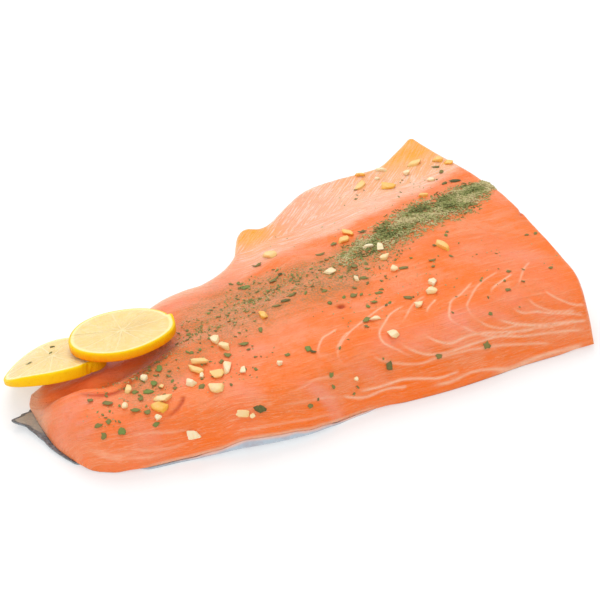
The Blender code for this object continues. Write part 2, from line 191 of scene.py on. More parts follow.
@dataclass(frozen=True)
class Stroke:
    """A soft line that runs over the flesh, such as a pale seam or a crease."""

    points: Table
    width: float
    strength: float = 1.0
    ends: tuple[float, float] = (0.12, 0.3)
    STEPS = 40

    def read(self, x: Array, y: Array, slope: Array | float = 1.0) -> Array:
        """Reads the line at places of the plan.

        Args:
            x: Places along the fillet.
            y: Places across the fillet.
            slope: How much longer the surface is there than its plan.

        Returns:
            How strong the line is at each place.
        """
        line = SmoothEdge(self.points).at(np.linspace(0, 1, self.STEPS))
        margin = 4 * self.width
        near = (
            (x > line[:, 0].min() - margin) & (x < line[:, 0].max() + margin)
            & (y > line[:, 1].min() - margin) & (y < line[:, 1].max() + margin)
        )
        mask = np.zeros(x.shape)
        if not near.any():
            return mask
        run = np.diff(line, axis=0)
        away = np.stack([x[near], y[near]], axis=-1)[:, None] - line[None, :-1]
        along = np.clip((away * run).sum(-1) / (run**2).sum(-1), 0, 1)
        gap = ((away - along[..., None] * run) ** 2).sum(-1)
        best = gap.argmin(1)
        row = np.arange(len(best))
        share = (best + along[row, best]) / len(run)
        steep = np.broadcast_to(slope, x.shape)[near]
        body = window(share, 0, self.ends[0], 1 - self.ends[1], 1)
        mask[near] = self.strength * hump(np.sqrt(gap[row, best]) * steep / self.width) * body
        return mask


# ---------------------------------------------------------------- form of the fillet


@dataclass
class FilletForm:
    """Outline and thickness of the fillet, as its solids have them."""

    loin_edge: Table = (
        (-136.5, -47.5), (-130, -52.5), (-119, -57.8), (-106, -61.8), (-92, -67), (-58, -79.3), (-26, -83),
        (11, -92.6), (35, -97.2), (55, -100.3), (88.5, -108),
    )
    wide_end: Table = (
        (88.5, -108), (94.5, -97.5), (104.5, -79), (112, -53.5), (122, -21), (131.5, 11), (134.5, 47),
        (131.5, 78),
    )
    belly_edge: Table = (
        (-137.5, 11.5), (-122, 16), (-95, 22.5), (-77, 28.5), (-60, 33), (-46, 33), (-36, 31.3), (-22, 35),
        (-10.5, 42), (-3, 51), (2, 57), (7, 59), (13, 55.6), (21, 56.8), (36, 64.3), (54, 71), (71, 70.4),
        (87, 67.8), (100, 67), (114, 71.5), (131.5, 78),
    )
    tail_end: Table = (
        (-136.5, -47.5), (-140.3, -42.5), (-142.8, -34.5), (-144.6, -25), (-144.2, -13), (-143, -3),
        (-141.6, 5), (-137.5, 11.5),
    )
    loin_thickness: Table = ((-143, 20), (-110, 22), (-60, 24), (0, 25), (60, 26), (105, 22), (132, 18))
    belly_thickness: Table = ((-143, 5), (-85, 6), (-50, 9), (20, 8), (100, 8), (132, 9))
    loin_crest: float = 0.45
    belly_start: float = 0.93
    midline: Table = (
        (-143, -2), (-128, -9), (-116, -17), (-101, -15), (-84, -11.5), (-33, -6), (0, -3.5), (51, 3.5),
        (132, 9),
    )
    midline_depth: Table = ((-143, 2.5), (-118, 5), (-95, 4.4), (-70, 2.2), (-40, 1.2), (132, 0.8))
    midline_width: Table = ((-143, 5), (-100, 7), (-40, 9), (132, 11))
    loin_rounding: Table = ((-143, 20), (-80, 20), (0, 27), (60, 34), (132, 30))
    belly_rounding: float = 6
    tail_rounding: float = 16
    cut_rounding: float = 5
    belly_corner: tuple[float, float] = (131.5, 78)
    belly_corner_curl: float = 3.0
    belly_corner_reach: float = 24
    swell_height: float = 0.9
    swell_length: float = 34
    skin_thickness: float = 1.0
    skin_gap: float = 0.3
    loin_rim: Table = (
        (-132, 0.5), (-125, 1.35), (-104, 1.7), (-92, 2.8), (-80, 5.9), (-62, 5.2), (-50, 3.2), (-34, 1.35),
        (-16, 1.35), (-6, 0.5), (70, 0.5), (80, 1.35),
    )
    belly_rim: Table = ((-137, 1.35), (-126, 1.35), (-120, 0.5), (100, 0.5), (112, 1.35))
    tail_rim: Table = ((-46, 0.5), (-41, 1.35), (-20, 1.35), (-9, 1.8))
    loin_skin_reach: Table = (
        (-125, -1.8), (-118, 0.25), (-104, 0.3), (-88, 0.9), (-60, 0.9), (-40, 0.5), (-26, 0.2),
        (-16, -1.8),
    )
    tail_skin_reach: Table = (
        (-41, -1.8), (-36, 0.8), (-31, 1.2), (-19, 2.4), (-14, 3.6), (-8, 6.2), (-2.7, 11.8), (0, 6),
        (2.5, 1), (5, -1.8),
    )
    hidden_skin_reach: float = -1.8
    flap_curl: float = 0.28
    flank_lean: float = 0.3
    undercut: float = 2.6
    rows_along: int = 560
    rows_across: int = 340
    crowded_band: float = 0.1
    corner_softening: float = 4.0
    steepest_stroke: float = 3.0

    def __post_init__(self) -> None:
        """Lays out the grid of places and their heights."""
        self.along = edge_crowded(self.rows_along, self.crowded_band)[:, None]
        self.across = edge_crowded(self.rows_across, self.crowded_band)[None, :]
        loin, belly = (SmoothEdge(e).at(self.along) for e in (self.loin_edge, self.belly_edge))
        tail, wide = (SmoothEdge(e).at(self.across) for e in (self.tail_end, self.wide_end))
        u, v = self.along[..., None], self.across[..., None]
        corners = (
            (1 - u) * (1 - v) * loin[:1] + u * (1 - v) * loin[-1:]
            + (1 - u) * v * belly[:1] + u * v * belly[-1:]
        )
        place = (1 - v) * loin + v * belly + (1 - u) * tail + u * wide - corners
        self.x, self.y = place[..., 0], place[..., 1]
        width = np.linalg.norm(belly - loin, axis=-1)
        length = np.linalg.norm(wide - tail, axis=-1)
        self.to_loin, self.to_belly = self.across * width, (1 - self.across) * width
        self.to_tail, self.to_wide = self.along * length, (1 - self.along) * length
        self.rim = self.rim_height()
        self.fullness = (
            rounded(self.to_loin, between(self.loin_rounding, self.x))
            * rounded(self.to_belly, self.belly_rounding)
            * rounded(self.to_tail, self.tail_rounding)
            * rounded(self.to_wide, self.cut_rounding)
        )
        self.top = self.rim + (self.body_height() - self.rim) * self.fullness
        self.over = [self.surface_length(axis) for axis in (0, 1)]
        steep = np.gradient(self.over[1], axis=1) / np.gradient(self.to_loin, axis=1)
        self.slope = np.clip(steep, 1.0, self.steepest_stroke)

    @property
    def flesh_base(self) -> float:
        """Height of the flat underside of the flesh."""
        return self.skin_thickness + self.skin_gap

    def surface_length(self, axis: int) -> Array:
        """Lengths over the surface from the tail end, axis 0, or from the loin edge, axis 1."""
        steps = np.sqrt(sum(np.diff(part, axis=axis) ** 2 for part in (self.x, self.y, self.top)))
        lengths = np.cumsum(steps, axis=axis)
        start = np.zeros_like(lengths[:1] if axis == 0 else lengths[:, :1])
        return np.concatenate([start, lengths], axis=axis)

    def rim_height(self) -> Array:
        """Height of the flesh's lower rim near each place of the grid."""
        from_loin = (1 - self.across) ** 3
        side = between(self.loin_rim, self.x) * from_loin + between(self.belly_rim, self.x) * (1 - from_loin)
        near_tail = (1 - self.along) ** 24 * (self.across > 0)
        return side + (between(self.tail_rim, self.y) - side) * near_tail

    def body_height(self) -> Array:
        """Height of the top over the grid, before its edges are rounded off."""
        x, y = self.x, self.y
        loin, belly = between(self.loin_thickness, x), between(self.belly_thickness, x)
        body = loin + (belly - loin) * smoothstep(self.loin_crest, self.belly_start, self.across)
        offset = (y - between(self.midline, x)) / between(self.midline_width, x)
        body = body - between(self.midline_depth, x) * hump(offset)
        body += self.swell_height * wander(x, y, self.swell_length, 0.5)
        corner = np.hypot(x - self.belly_corner[0], y - self.belly_corner[1]) / self.belly_corner_reach
        return body + self.belly_corner_curl * np.clip(1 - corner, 0, None) ** 2


class Rim:
    """The outline of the flesh, point by point, with what its underside and the skin need there."""

    def __init__(self, form: FilletForm) -> None:
        """Walks anticlockwise round the grid's border from the corner of tail and loin."""
        last_i, last_j = form.rows_along, form.rows_across
        self.cells = (
            [(i, 0) for i in range(last_i)] + [(last_i, j) for j in range(last_j)]
            + [(i, last_j) for i in range(last_i, 0, -1)] + [(0, j) for j in range(last_j, 0, -1)]
        )
        i, j = np.array(self.cells).T
        self.form = form
        self.place = np.stack([form.x[i, j], form.y[i, j]], axis=-1)
        self.height = form.top[i, j]
        self.reach = np.concatenate([
            between(form.loin_skin_reach, self.place[:last_i, 0]),
            np.full(last_j + last_i, form.hidden_skin_reach),
            between(form.tail_skin_reach, self.place[2 * last_i + last_j:, 1]),
        ])
        self.inward = self.softened_inward()
        self.flank = self.height - form.flesh_base
        self.undercut = np.maximum(form.undercut, form.flank_lean * self.flank)

    def softened_inward(self) -> Array:
        """Directions into the flesh, turned gently at the corners."""
        closed = np.vstack([self.place, self.place[:1]])
        steps = np.linalg.norm(np.diff(closed, axis=0), axis=1)
        reached = np.concatenate([[0.0], np.cumsum(steps)])
        count = int(reached[-1] * 2)
        even = np.linspace(0, reached[-1], count, endpoint=False)
        spots = np.stack([np.interp(even, reached, closed[:, axis]) for axis in (0, 1)], axis=-1)
        run = np.roll(spots, -1, axis=0) - np.roll(spots, 1, axis=0)
        inward = np.stack([-run[:, 1], run[:, 0]], axis=-1)
        inward /= np.linalg.norm(inward, axis=1)[:, None]
        for _ in range(int(2 * (2 * self.form.corner_softening) ** 2)):
            inward = (np.roll(inward, 1, axis=0) + 2 * inward + np.roll(inward, -1, axis=0)) / 4
        return np.stack([np.interp(reached[:-1], even, inward[:, axis]) for axis in (0, 1)], axis=-1)

    def at(self, inward: Array, height: Array) -> Array:
        """Points at a distance inwards of the outline and a height."""
        spot = self.place + self.inward * np.asarray(inward)[:, None]
        return np.column_stack([spot, np.broadcast_to(height, len(spot))])

    def flesh_ring(self, turn: float) -> Array:
        """The flesh's lower side, turned in from the rim towards the flat underside."""
        return self.at(self.undercut * (1 - math.cos(turn)), self.height - self.flank * math.sin(turn))

    def skin_ring(self, turn: float, depth: float) -> tuple[Array, Array]:
        """One ring of the skin.

        Args:
            turn: Angle round the lower edge, 0 at its outer end.
            depth: How far the ring lies below the flesh.

        Returns:
            The points, and how far each stands out past the flesh.
        """
        wrapped = self.at(
            self.undercut - (self.undercut + depth) * math.cos(turn),
            self.height - (self.flank + depth) * math.sin(turn),
        )
        inward = self.undercut - (self.undercut + self.reach) * math.cos(turn)
        beyond = np.clip(-inward, 0, None)
        flat = self.at(inward, self.form.flesh_base - depth + self.form.flap_curl * beyond)
        share = smoothstep(0.3, 1.2, self.flank)[:, None]
        return flat * (1 - share) + wrapped * share, beyond


@dataclass(frozen=True)
class Seams:
    """The pale seams between the flakes of the flesh, and its creases."""

    seam_width: float = 0.5
    crease_width: float = 0.9
    arches: tuple[Table, ...] = (
        ((16, -53), (7, -52), (-5, -55), (-17, -59), (-27, -65), (-29, -70), (-26, -75)),
        ((17, -57), (8, -58), (1, -62), (-5, -66), (-7, -71), (-4, -76), (1, -82), (5, -85)),
        ((28, -58), (20, -59), (13, -63), (7, -67)),
        ((30, -63), (24, -65), (20, -68)),
        ((52, -63), (41, -67), (35, -68), (31, -71), (27, -76), (28, -80), (32, -85)),
        ((68, -63), (57, -65), (49, -68), (42, -72), (38, -75), (37, -81), (40, -86)),
        ((72, -68), (64, -70), (56, -72), (52, -75)),
        ((87, -64), (79, -68), (71, -74), (66, -77)),
        ((-18, -53), (-23, -54), (-28, -55), (-34, -60), (-36, -65)),
        ((-15, -58), (-19, -59), (-24, -62), (-29, -65)),
    )
    sweeps: tuple[Table, ...] = (
        ((-36, -79), (-25, -82), (-15, -84), (-5, -87)),
        ((-28, -80), (-16, -83), (-7, -85), (4, -89), (10, -91), (20, -93)),
        ((3, -90), (15, -93), (27, -95), (41, -98), (54, -100), (68, -103), (84, -107)),
        (
            (-16, -71), (-14, -75), (-11, -78), (-6, -81), (3, -85), (13, -87), (34, -92), (56, -98),
            (68, -102),
        ),
        ((-1, -73), (1, -78), (6, -83), (13, -86), (22, -88), (40, -91), (53, -95), (70, -100), (85, -105)),
        ((11, -76), (14, -81), (20, -85), (29, -86), (37, -88), (45, -91), (62, -96)),
        ((28, -80), (32, -85), (37, -89), (45, -92), (56, -94), (72, -99)),
        ((37, -81), (40, -86), (46, -90), (55, -92), (67, -97), (80, -101)),
        ((46, -86), (52, -90), (63, -95), (75, -99), (87, -103)),
        ((56, -85), (60, -89), (66, -91), (74, -95), (81, -98), (87, -101)),
        ((66, -84), (68, -89), (74, -94), (84, -98)),
        ((77, -84), (79, -89), (84, -95), (90, -98)),
    )
    loin_lines: tuple[Table, ...] = (
        ((-60, -71), (-51, -72), (-42, -72), (-29, -76)),
        ((-64, -73), (-53, -76), (-42, -78), (-32, -80)),
        ((-89, -67), (-82, -70), (-72, -74), (-56, -79), (-33, -82)),
        ((-140, -39), (-136, -46), (-131, -51), (-124, -55), (-117, -58), (-107, -61)),
        ((-138, -43), (-133, -49), (-127, -53), (-120, -56)),
        ((-127, -52), (-120, -56), (-112, -59), (-99, -63)),
        ((-123, -51), (-114, -55), (-107, -58), (-98, -61)),
    )
    crease: Table = (
        (-130, -16), (-125, -23), (-119, -27.5), (-113, -28), (-104, -24), (-94, -21), (-86, -20.5),
        (-78, -20),
    )
    ledge: Table = ((-95.5, -49), (-98, -51.5), (-102, -53), (-107, -53.5), (-112, -53.5))
    pit: tuple[float, float] = (-7, -41)
    notch: Table = ((120, -23), (116, -27), (112, -32))
    tail_folds: tuple[Table, ...] = (
        ((-138, -15), (-134, -17), (-128, -21), (-124, -26), (-122, -32)),
        ((-141, -19), (-137, -22), (-131, -26), (-127, -31)),
        ((-139, -31), (-134, -35), (-129, -37)),
        ((-140, -35), (-136, -39), (-133, -42)),
        ((-112, -13), (-109, -19), (-103, -19), (-95, -16)),
    )

    def arch_strokes(self) -> list[Stroke]:
        """The arched seams on the crest of the loin."""
        return [
            Stroke(line, self.seam_width, 0.8 + 0.2 * math.sin(2.4 * step), (0.1, 0.4))
            for step, line in enumerate(self.arches)
        ]

    def sweep_strokes(self) -> list[Stroke]:
        """The seams that sweep down and along to the wide end."""
        return [
            Stroke(line, self.seam_width, 0.85 + 0.15 * math.sin(1.7 * step), (0.12, 0.06))
            for step, line in enumerate(self.sweeps)
        ]

    def loin_strokes(self) -> list[Stroke]:
        """The faint lines along the loin edge."""
        return [Stroke(line, self.seam_width, 0.38, (0.3, 0.3)) for line in self.loin_lines]

    def fold_strokes(self) -> list[Stroke]:
        """The fine folds of the tail."""
        return [Stroke(line, self.crease_width, 0.9, (0.2, 0.5)) for line in self.tail_folds]

    def crease_stroke(self, width: float, shift: tuple[float, float] = (0, 0)) -> Stroke:
        """The crease of the tail, of a width and moved to one side."""
        return Stroke(tuple((x + shift[0], y + shift[1]) for x, y in self.crease), width)


@dataclass(frozen=True)
class Patch:
    """An oval of the flesh where its colour changes, without an edge."""

    x: float
    y: float
    length: float
    width: float
    strength: float = 1.0
    turn: float = -36

    def read(self, x: Array, y: Array) -> Array:
        """How strong the patch is at places of the plan."""
        turn = math.radians(self.turn)
        along = (x - self.x) * math.cos(turn) + (y - self.y) * math.sin(turn)
        across = (y - self.y) * math.cos(turn) - (x - self.x) * math.sin(turn)
        return self.strength * hump(np.hypot(2 * along / self.length, 2 * across / self.width))


def patched(patches: tuple[Patch, ...], x: Array, y: Array) -> Array:
    """What several patches add up to at places of the plan."""
    return sum(patch.read(x, y) for patch in patches)


def strongest(strokes: list[Stroke], x: Array, y: Array, slope: Array | float = 1.0) -> Array:
    """The strongest of several strokes at each place, all kept narrow on a slope."""
    return np.maximum.reduce([stroke.read(x, y, slope) for stroke in strokes])


# ---------------------------------------------------------------- meshes


@dataclass(frozen=True)
class Setting:
    """Where the fillet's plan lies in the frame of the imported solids."""

    shift: tuple[float, float]

    @classmethod
    def of(cls, form: FilletForm) -> "Setting":
        """Finds the shift that lays the outline on the flesh solid."""
        low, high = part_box("flesh")
        return cls((
            (form.x.min() + form.x.max()) / 2 - (low.x + high.x) / 2 / MM,
            (form.y.min() + form.y.max()) / 2 - (low.y + high.y) / 2 / MM,
        ))

    def to_row(self, points: Array) -> Array:
        """Plan points in millimetres as row-frame points in metres."""
        return (np.asarray(points, float) - (*self.shift, 0.0)) * MM


class Shell:
    """A mesh in the making: points, faces and a value of each named kind for every point."""

    def __init__(self) -> None:
        """Starts with nothing in it."""
        self.points: list[Array] = []
        self.faces: list = []
        self.values: dict[str, list[Array]] = {}
        self.count = 0

    def add_points(self, points: Array, **values: Array | float) -> Array:
        """Adds points with their values.

        Args:
            points: The points, one row each.
            **values: One for all points or one for each, under the name that the material reads.

        Returns:
            The points' indices.
        """
        points = np.asarray(points, float).reshape(-1, 3)
        self.points.append(points)
        for name, value in values.items():
            value = np.asarray(value, float)
            shape = points.shape if value.ndim == 2 else points.shape[:1]
            self.values.setdefault(name, []).append(np.broadcast_to(value, shape))
        start, self.count = self.count, self.count + len(points)
        return np.arange(start, self.count)

    def add_strip(self, outer: Array, inner: Array) -> None:
        """Joins two closed rings of equal length with quads."""
        rows = np.column_stack([outer, np.roll(outer, -1), np.roll(inner, -1), inner])
        self.faces.extend(rows.tolist())

    def add_tube(self, rings: list[Array]) -> None:
        """Joins a row of closed rings, each to the next."""
        for outer, inner in zip(rings, rings[1:]):
            self.add_strip(outer, inner)

    def add_fan(self, hub: int, ring: Array) -> None:
        """Closes a ring with triangles round one point."""
        self.faces += [[int(hub), one, two] for one, two in zip(ring.tolist(), np.roll(ring, -1).tolist())]

    def add_grid(self, index: Array) -> None:
        """Joins a grid of point indices with quads, upper side up."""
        rows = np.stack([index[:-1, :-1], index[1:, :-1], index[1:, 1:], index[:-1, 1:]], axis=-1)
        self.faces.extend(rows.reshape(-1, 4).tolist())

    def piece(self, name: str, setting: Setting, material: bpy.types.Material) -> bpy.types.Object:
        """Makes the object.

        Args:
            name: Name of the piece.
            setting: Where the plan lies.
            material: Its finish.

        Returns:
            The new object, smooth and linked to the scene.
        """
        mesh = bpy.data.meshes.new(name)
        points = setting.to_row(np.vstack(self.points))
        mesh.from_pydata(points.tolist(), [], self.faces)
        for kind, chunks in self.values.items():
            values = np.concatenate(chunks)
            vector = values.ndim == 2
            layer = mesh.attributes.new(kind, "FLOAT_VECTOR" if vector else "FLOAT", "POINT")
            layer.data.foreach_set("vector" if vector else "value", values.astype(np.float32).ravel())
        mesh.shade_smooth()
        mesh.materials.append(material)
        return linked(name, mesh)


# ---------------------------------------------------------------- finishes


class Graph:
    """Builds the node tree of one material, step by step."""

    def __init__(self, name: str, **constants: float | Colour) -> None:
        """Starts a material and sets constants on its shader.

        Args:
            name: Name of the material.
            **constants: Shader inputs by name, with _ for a space.
        """
        self.material = bpy.data.materials.new(name)
        self.material.use_nodes = True
        self.tree = self.material.node_tree
        self.shader = self.tree.nodes["Principled BSDF"]
        for key, value in constants.items():
            self.shader.inputs[key.replace("_", " ")].default_value = value

    def node(self, kind: str, **settings: object) -> bpy.types.Node:
        """Adds a node and sets its options."""
        made = self.tree.nodes.new(kind)
        for key, value in settings.items():
            setattr(made, key, value)
        return made

    def feed(self, target: Socket, value: Socket | float | Colour) -> None:
        """Links a socket to another, or sets it to a value."""
        if isinstance(value, bpy.types.NodeSocket):
            self.tree.links.new(value, target)
        elif isinstance(value, tuple) and len(target.default_value) == 4:
            target.default_value = (*value, 1)
        else:
            target.default_value = value

    def give(self, name: str, value: Socket) -> None:
        """Feeds one of the shader's inputs."""
        self.feed(self.shader.inputs[name], value)

    def mask(self, name: str) -> Socket:
        """Reads a named value of the mesh."""
        return self.node("ShaderNodeAttribute", attribute_name=name).outputs["Fac"]

    def vector(self, name: str, stretch: Colour = (1, 1, 1)) -> Socket:
        """Reads a named vector of the mesh, stretched along its axes."""
        scaled = self.node("ShaderNodeVectorMath", operation="MULTIPLY")
        self.feed(scaled.inputs[0], self.node("ShaderNodeAttribute", attribute_name=name).outputs["Vector"])
        scaled.inputs[1].default_value = stretch
        return scaled.outputs[0]

    def place(self) -> Socket:
        """The place on the piece, in millimetres."""
        scaled = self.node("ShaderNodeVectorMath", operation="SCALE")
        self.feed(scaled.inputs[0], self.node("ShaderNodeTexCoord").outputs["Object"])
        scaled.inputs["Scale"].default_value = 1 / MM
        return scaled.outputs[0]

    def noise(self, vector: Socket, scale: float, detail: float = 3, roughness: float = 0.5) -> Socket:
        """Cloudy noise over a vector."""
        made = self.node("ShaderNodeTexNoise")
        self.feed(made.inputs["Vector"], vector)
        for key, value in (("Scale", scale), ("Detail", detail), ("Roughness", roughness)):
            made.inputs[key].default_value = value
        return made.outputs["Fac"]

    def cells(self, vector: Socket, scale: float) -> Socket:
        """Distance from the middles of a pattern of cells over a vector."""
        made = self.node("ShaderNodeTexVoronoi")
        self.feed(made.inputs["Vector"], vector)
        made.inputs["Scale"].default_value = scale
        return made.outputs["Distance"]

    def ease(self, value: Socket, low: float, high: float, start: float = 0.0, end: float = 1.0) -> Socket:
        """Maps a value smoothly from low..high to start..end."""
        made = self.node("ShaderNodeMapRange", interpolation_type="SMOOTHSTEP")
        self.feed(made.inputs[0], value)
        for index, number in enumerate((low, high, start, end), 1):
            made.inputs[index].default_value = number
        return made.outputs[0]

    def math(self, operation: str, first: Socket | float, second: Socket | float) -> Socket:
        """One step of arithmetic, kept between 0 and 1 for additions."""
        made = self.node("ShaderNodeMath", operation=operation, use_clamp=operation == "ADD")
        self.feed(made.inputs[0], first)
        self.feed(made.inputs[1], second)
        return made.outputs[0]

    def times(self, first: Socket | float, second: Socket | float) -> Socket:
        """The product of two values."""
        return self.math("MULTIPLY", first, second)

    def plus(self, first: Socket | float, second: Socket | float) -> Socket:
        """The sum of two values, at most 1."""
        return self.math("ADD", first, second)

    def blend(self, share: Socket | float, first: Socket | Colour, second: Socket | Colour) -> Socket:
        """The first colour, turned into the second by a share."""
        made = self.node("ShaderNodeMix", data_type="RGBA")
        self.feed(made.inputs["Factor"], share)
        self.feed(made.inputs[6], first)
        self.feed(made.inputs[7], second)
        return made.outputs[2]

    def patchy(
        self, name: str, field: Socket, low: float, high: float, start: float, end: float = 1.0
    ) -> Socket:
        """A named value of the mesh, times a noise that is eased from low..high to start..end."""
        return self.times(self.mask(name), self.ease(field, low, high, start, end))

    def layered(self, colour: Socket | Colour, *layers: tuple[Socket | float, Socket | Colour]) -> Socket:
        """A colour with others laid over it in turn, each by its share."""
        for share, layer in layers:
            colour = self.blend(share, colour, layer)
        return colour

    def vein(self, field: Socket, width: float) -> Socket:
        """Thin lines where a noise passes through its middle value."""
        away = self.math("ABSOLUTE", self.math("SUBTRACT", field, 0.5), 0.0)
        return self.ease(away, 0.0, width, 1.0, 0.0)

    def relief(self, *layers: tuple[Socket, float]) -> None:
        """Raises the surface by height layers, each with its depth in millimetres."""
        normal = None
        for height, depth in layers:
            made = self.node("ShaderNodeBump")
            made.inputs["Strength"].default_value = 1.0
            made.inputs["Distance"].default_value = depth * MM
            self.feed(made.inputs["Height"], height)
            if normal is not None:
                self.feed(made.inputs["Normal"], normal)
            normal = made.outputs["Normal"]
        self.give("Normal", normal)


@dataclass(frozen=True)
class FleshFinish:
    """Moist raw salmon: orange flesh, pale seams, a pale belly, pink bloom partly painted as sheen, golden
    thin edges, painted shade in the crease, ledge, pit and notch and beside the lemon slices, and painted
    light on the wide cut end.
    """

    orange: Colour = (0.92, 0.19, 0.026)
    deep_orange: Colour = (0.98, 0.175, 0.008)
    coral: Colour = (0.92, 0.25, 0.085)
    seam: Colour = (0.97, 0.48, 0.28)
    seam_line: Colour = (0.99, 0.55, 0.36)
    belly: Colour = (0.9, 0.5, 0.33)
    streak: Colour = (0.93, 0.68, 0.56)
    # pink flesh colour, also used as a painted sheen
    pink_and_sheen: Colour = (0.94, 0.28, 0.155)
    gold: Colour = (0.92, 0.38, 0.035)
    # painted shade: the dark colour laid into the crease, the ledge, the pit and the notch
    crease: Colour = (0.52, 0.05, 0.003)
    spice: Colour = (0.36, 0.2, 0.07)
    # pale rim colour; on the wide cut end it is painted light
    rim: Colour = (0.9, 0.54, 0.37)

    def material(self) -> bpy.types.Material:
        """Builds the material."""
        g = Graph(
            "raw_salmon", Roughness=0.4, IOR=1.38, Subsurface_Weight=0.2, Subsurface_Scale=0.003,
            Subsurface_Radius=(1.0, 0.32, 0.14), Specular_IOR_Level=0.3, Coat_Weight=0.1, Coat_Roughness=0.1,
            Coat_IOR=1.36,
        )
        place = g.place()
        clouds = g.noise(g.vector("grain", (0.03, 0.07, 1)), 1.0, 4, 0.55)
        mottle = g.noise(place, 0.17, 5, 0.62)
        grain = g.noise(place, 1.1, 2, 0.5)
        fibre = g.noise(g.vector("grain", (0.045, 0.6, 1)), 1.0, 4, 0.6)
        fine_fibre = g.noise(g.vector("grain", (0.12, 1.9, 1)), 1.0, 3, 0.55)
        combed = g.noise(g.vector("comb", (0.03, 0.75, 1)), 1.0, 3, 0.5)
        veins = g.times(g.vein(fibre, 0.03), g.mask("lined"))
        streaks = g.times(g.vein(combed, 0.045), g.ease(g.mask("gold"), 0.2, 0.9, 0.8, 0.25))
        spice = g.patchy("dust", grain, 0.4, 0.62, 0.4)
        colour = g.layered(
            self.orange,
            (g.ease(clouds, 0.42, 0.6), self.coral),
            (g.times(g.ease(mottle, 0.48, 0.62), 0.6), self.deep_orange),
            # deeper orange, partly painted shade beside the lemon slices and along the crease
            (g.mask("rich_and_shaded"), self.deep_orange),
            # pink, partly a painted sheen on the lobes and ridges
            (g.patchy("pink_and_sheen", mottle, 0.25, 0.6, 0.5), self.pink_and_sheen),
            (g.patchy("belly", fine_fibre, 0.2, 0.6, 0.75), self.belly),
            (g.times(g.ease(fibre, 0.52, 0.68), 0.2), self.seam),
            (g.times(g.ease(fine_fibre, 0.54, 0.7), 0.18), self.seam),
            (g.patchy("gold", combed, 0.3, 0.6, 0.7), self.gold),
            (g.times(veins, 0.5), self.seam),
            (g.times(streaks, g.mask("streak")), self.streak),
            (g.patchy("seam", mottle, 0.3, 0.55, 0.7), self.seam_line),
            # pale rims, with painted light on the wide cut end
            (g.patchy("rim", fine_fibre, 0.3, 0.6, 0.65), self.rim),
            # painted shade in the crease, the ledge, the pit and the notch
            (g.mask("painted_shade"), self.crease),
            (g.times(spice, g.ease(mottle, 0.38, 0.56, 0.55, 1.0)), self.spice),
        )
        g.give("Base Color", colour)
        g.give("Roughness", g.ease(mottle, 0.35, 0.7, 0.28, 0.5))
        g.relief((fibre, 0.7), (fine_fibre, 0.3), (mottle, 0.9), (grain, 0.16))
        return g.material


@dataclass(frozen=True)
class SkinFinish:
    """Wet silver-blue fish skin with fine scales, dark grey at the tail, beige on its inner side, darkened
    there by painted shade next to the flesh.
    """

    silver: Colour = (0.47, 0.56, 0.64)
    lilac: Colour = (0.42, 0.38, 0.43)
    slate: Colour = (0.09, 0.105, 0.11)
    # beige inner side of the flap, darkened as painted shade next to the flesh
    membrane: Colour = (0.52, 0.49, 0.42)
    blush: Colour = (0.82, 0.52, 0.43)

    def material(self) -> bpy.types.Material:
        """Builds the material."""
        g = Graph(
            "silver_skin", Roughness=0.34, Specular_IOR_Level=0.35, Coat_Weight=0.25, Coat_Roughness=0.12,
        )
        place = g.place()
        scales = g.cells(place, 0.75)
        clouds = g.noise(place, 0.12, 4, 0.6)
        fine = g.noise(place, 0.8, 3, 0.6)
        colour = g.layered(
            self.silver,
            (g.ease(clouds, 0.4, 0.62, 0.0, 0.6), self.lilac),
            (g.times(g.ease(scales, 0.5, 0.9), 0.35), self.lilac),
            (g.patchy("dark", fine, 0.3, 0.65, 1.0, 0.62), self.slate),
            (g.mask("blush"), self.blush),
            # inner side: beige, darkened by painted shade next to the flesh
            (g.patchy("inner", fine, 0.3, 0.7, 1.0, 0.7), self.membrane),
        )
        g.give("Base Color", colour)
        g.give("Roughness", g.ease(clouds, 0.35, 0.65, 0.24, 0.44))
        g.relief((scales, 0.12), (clouds, 0.4))
        return g.material


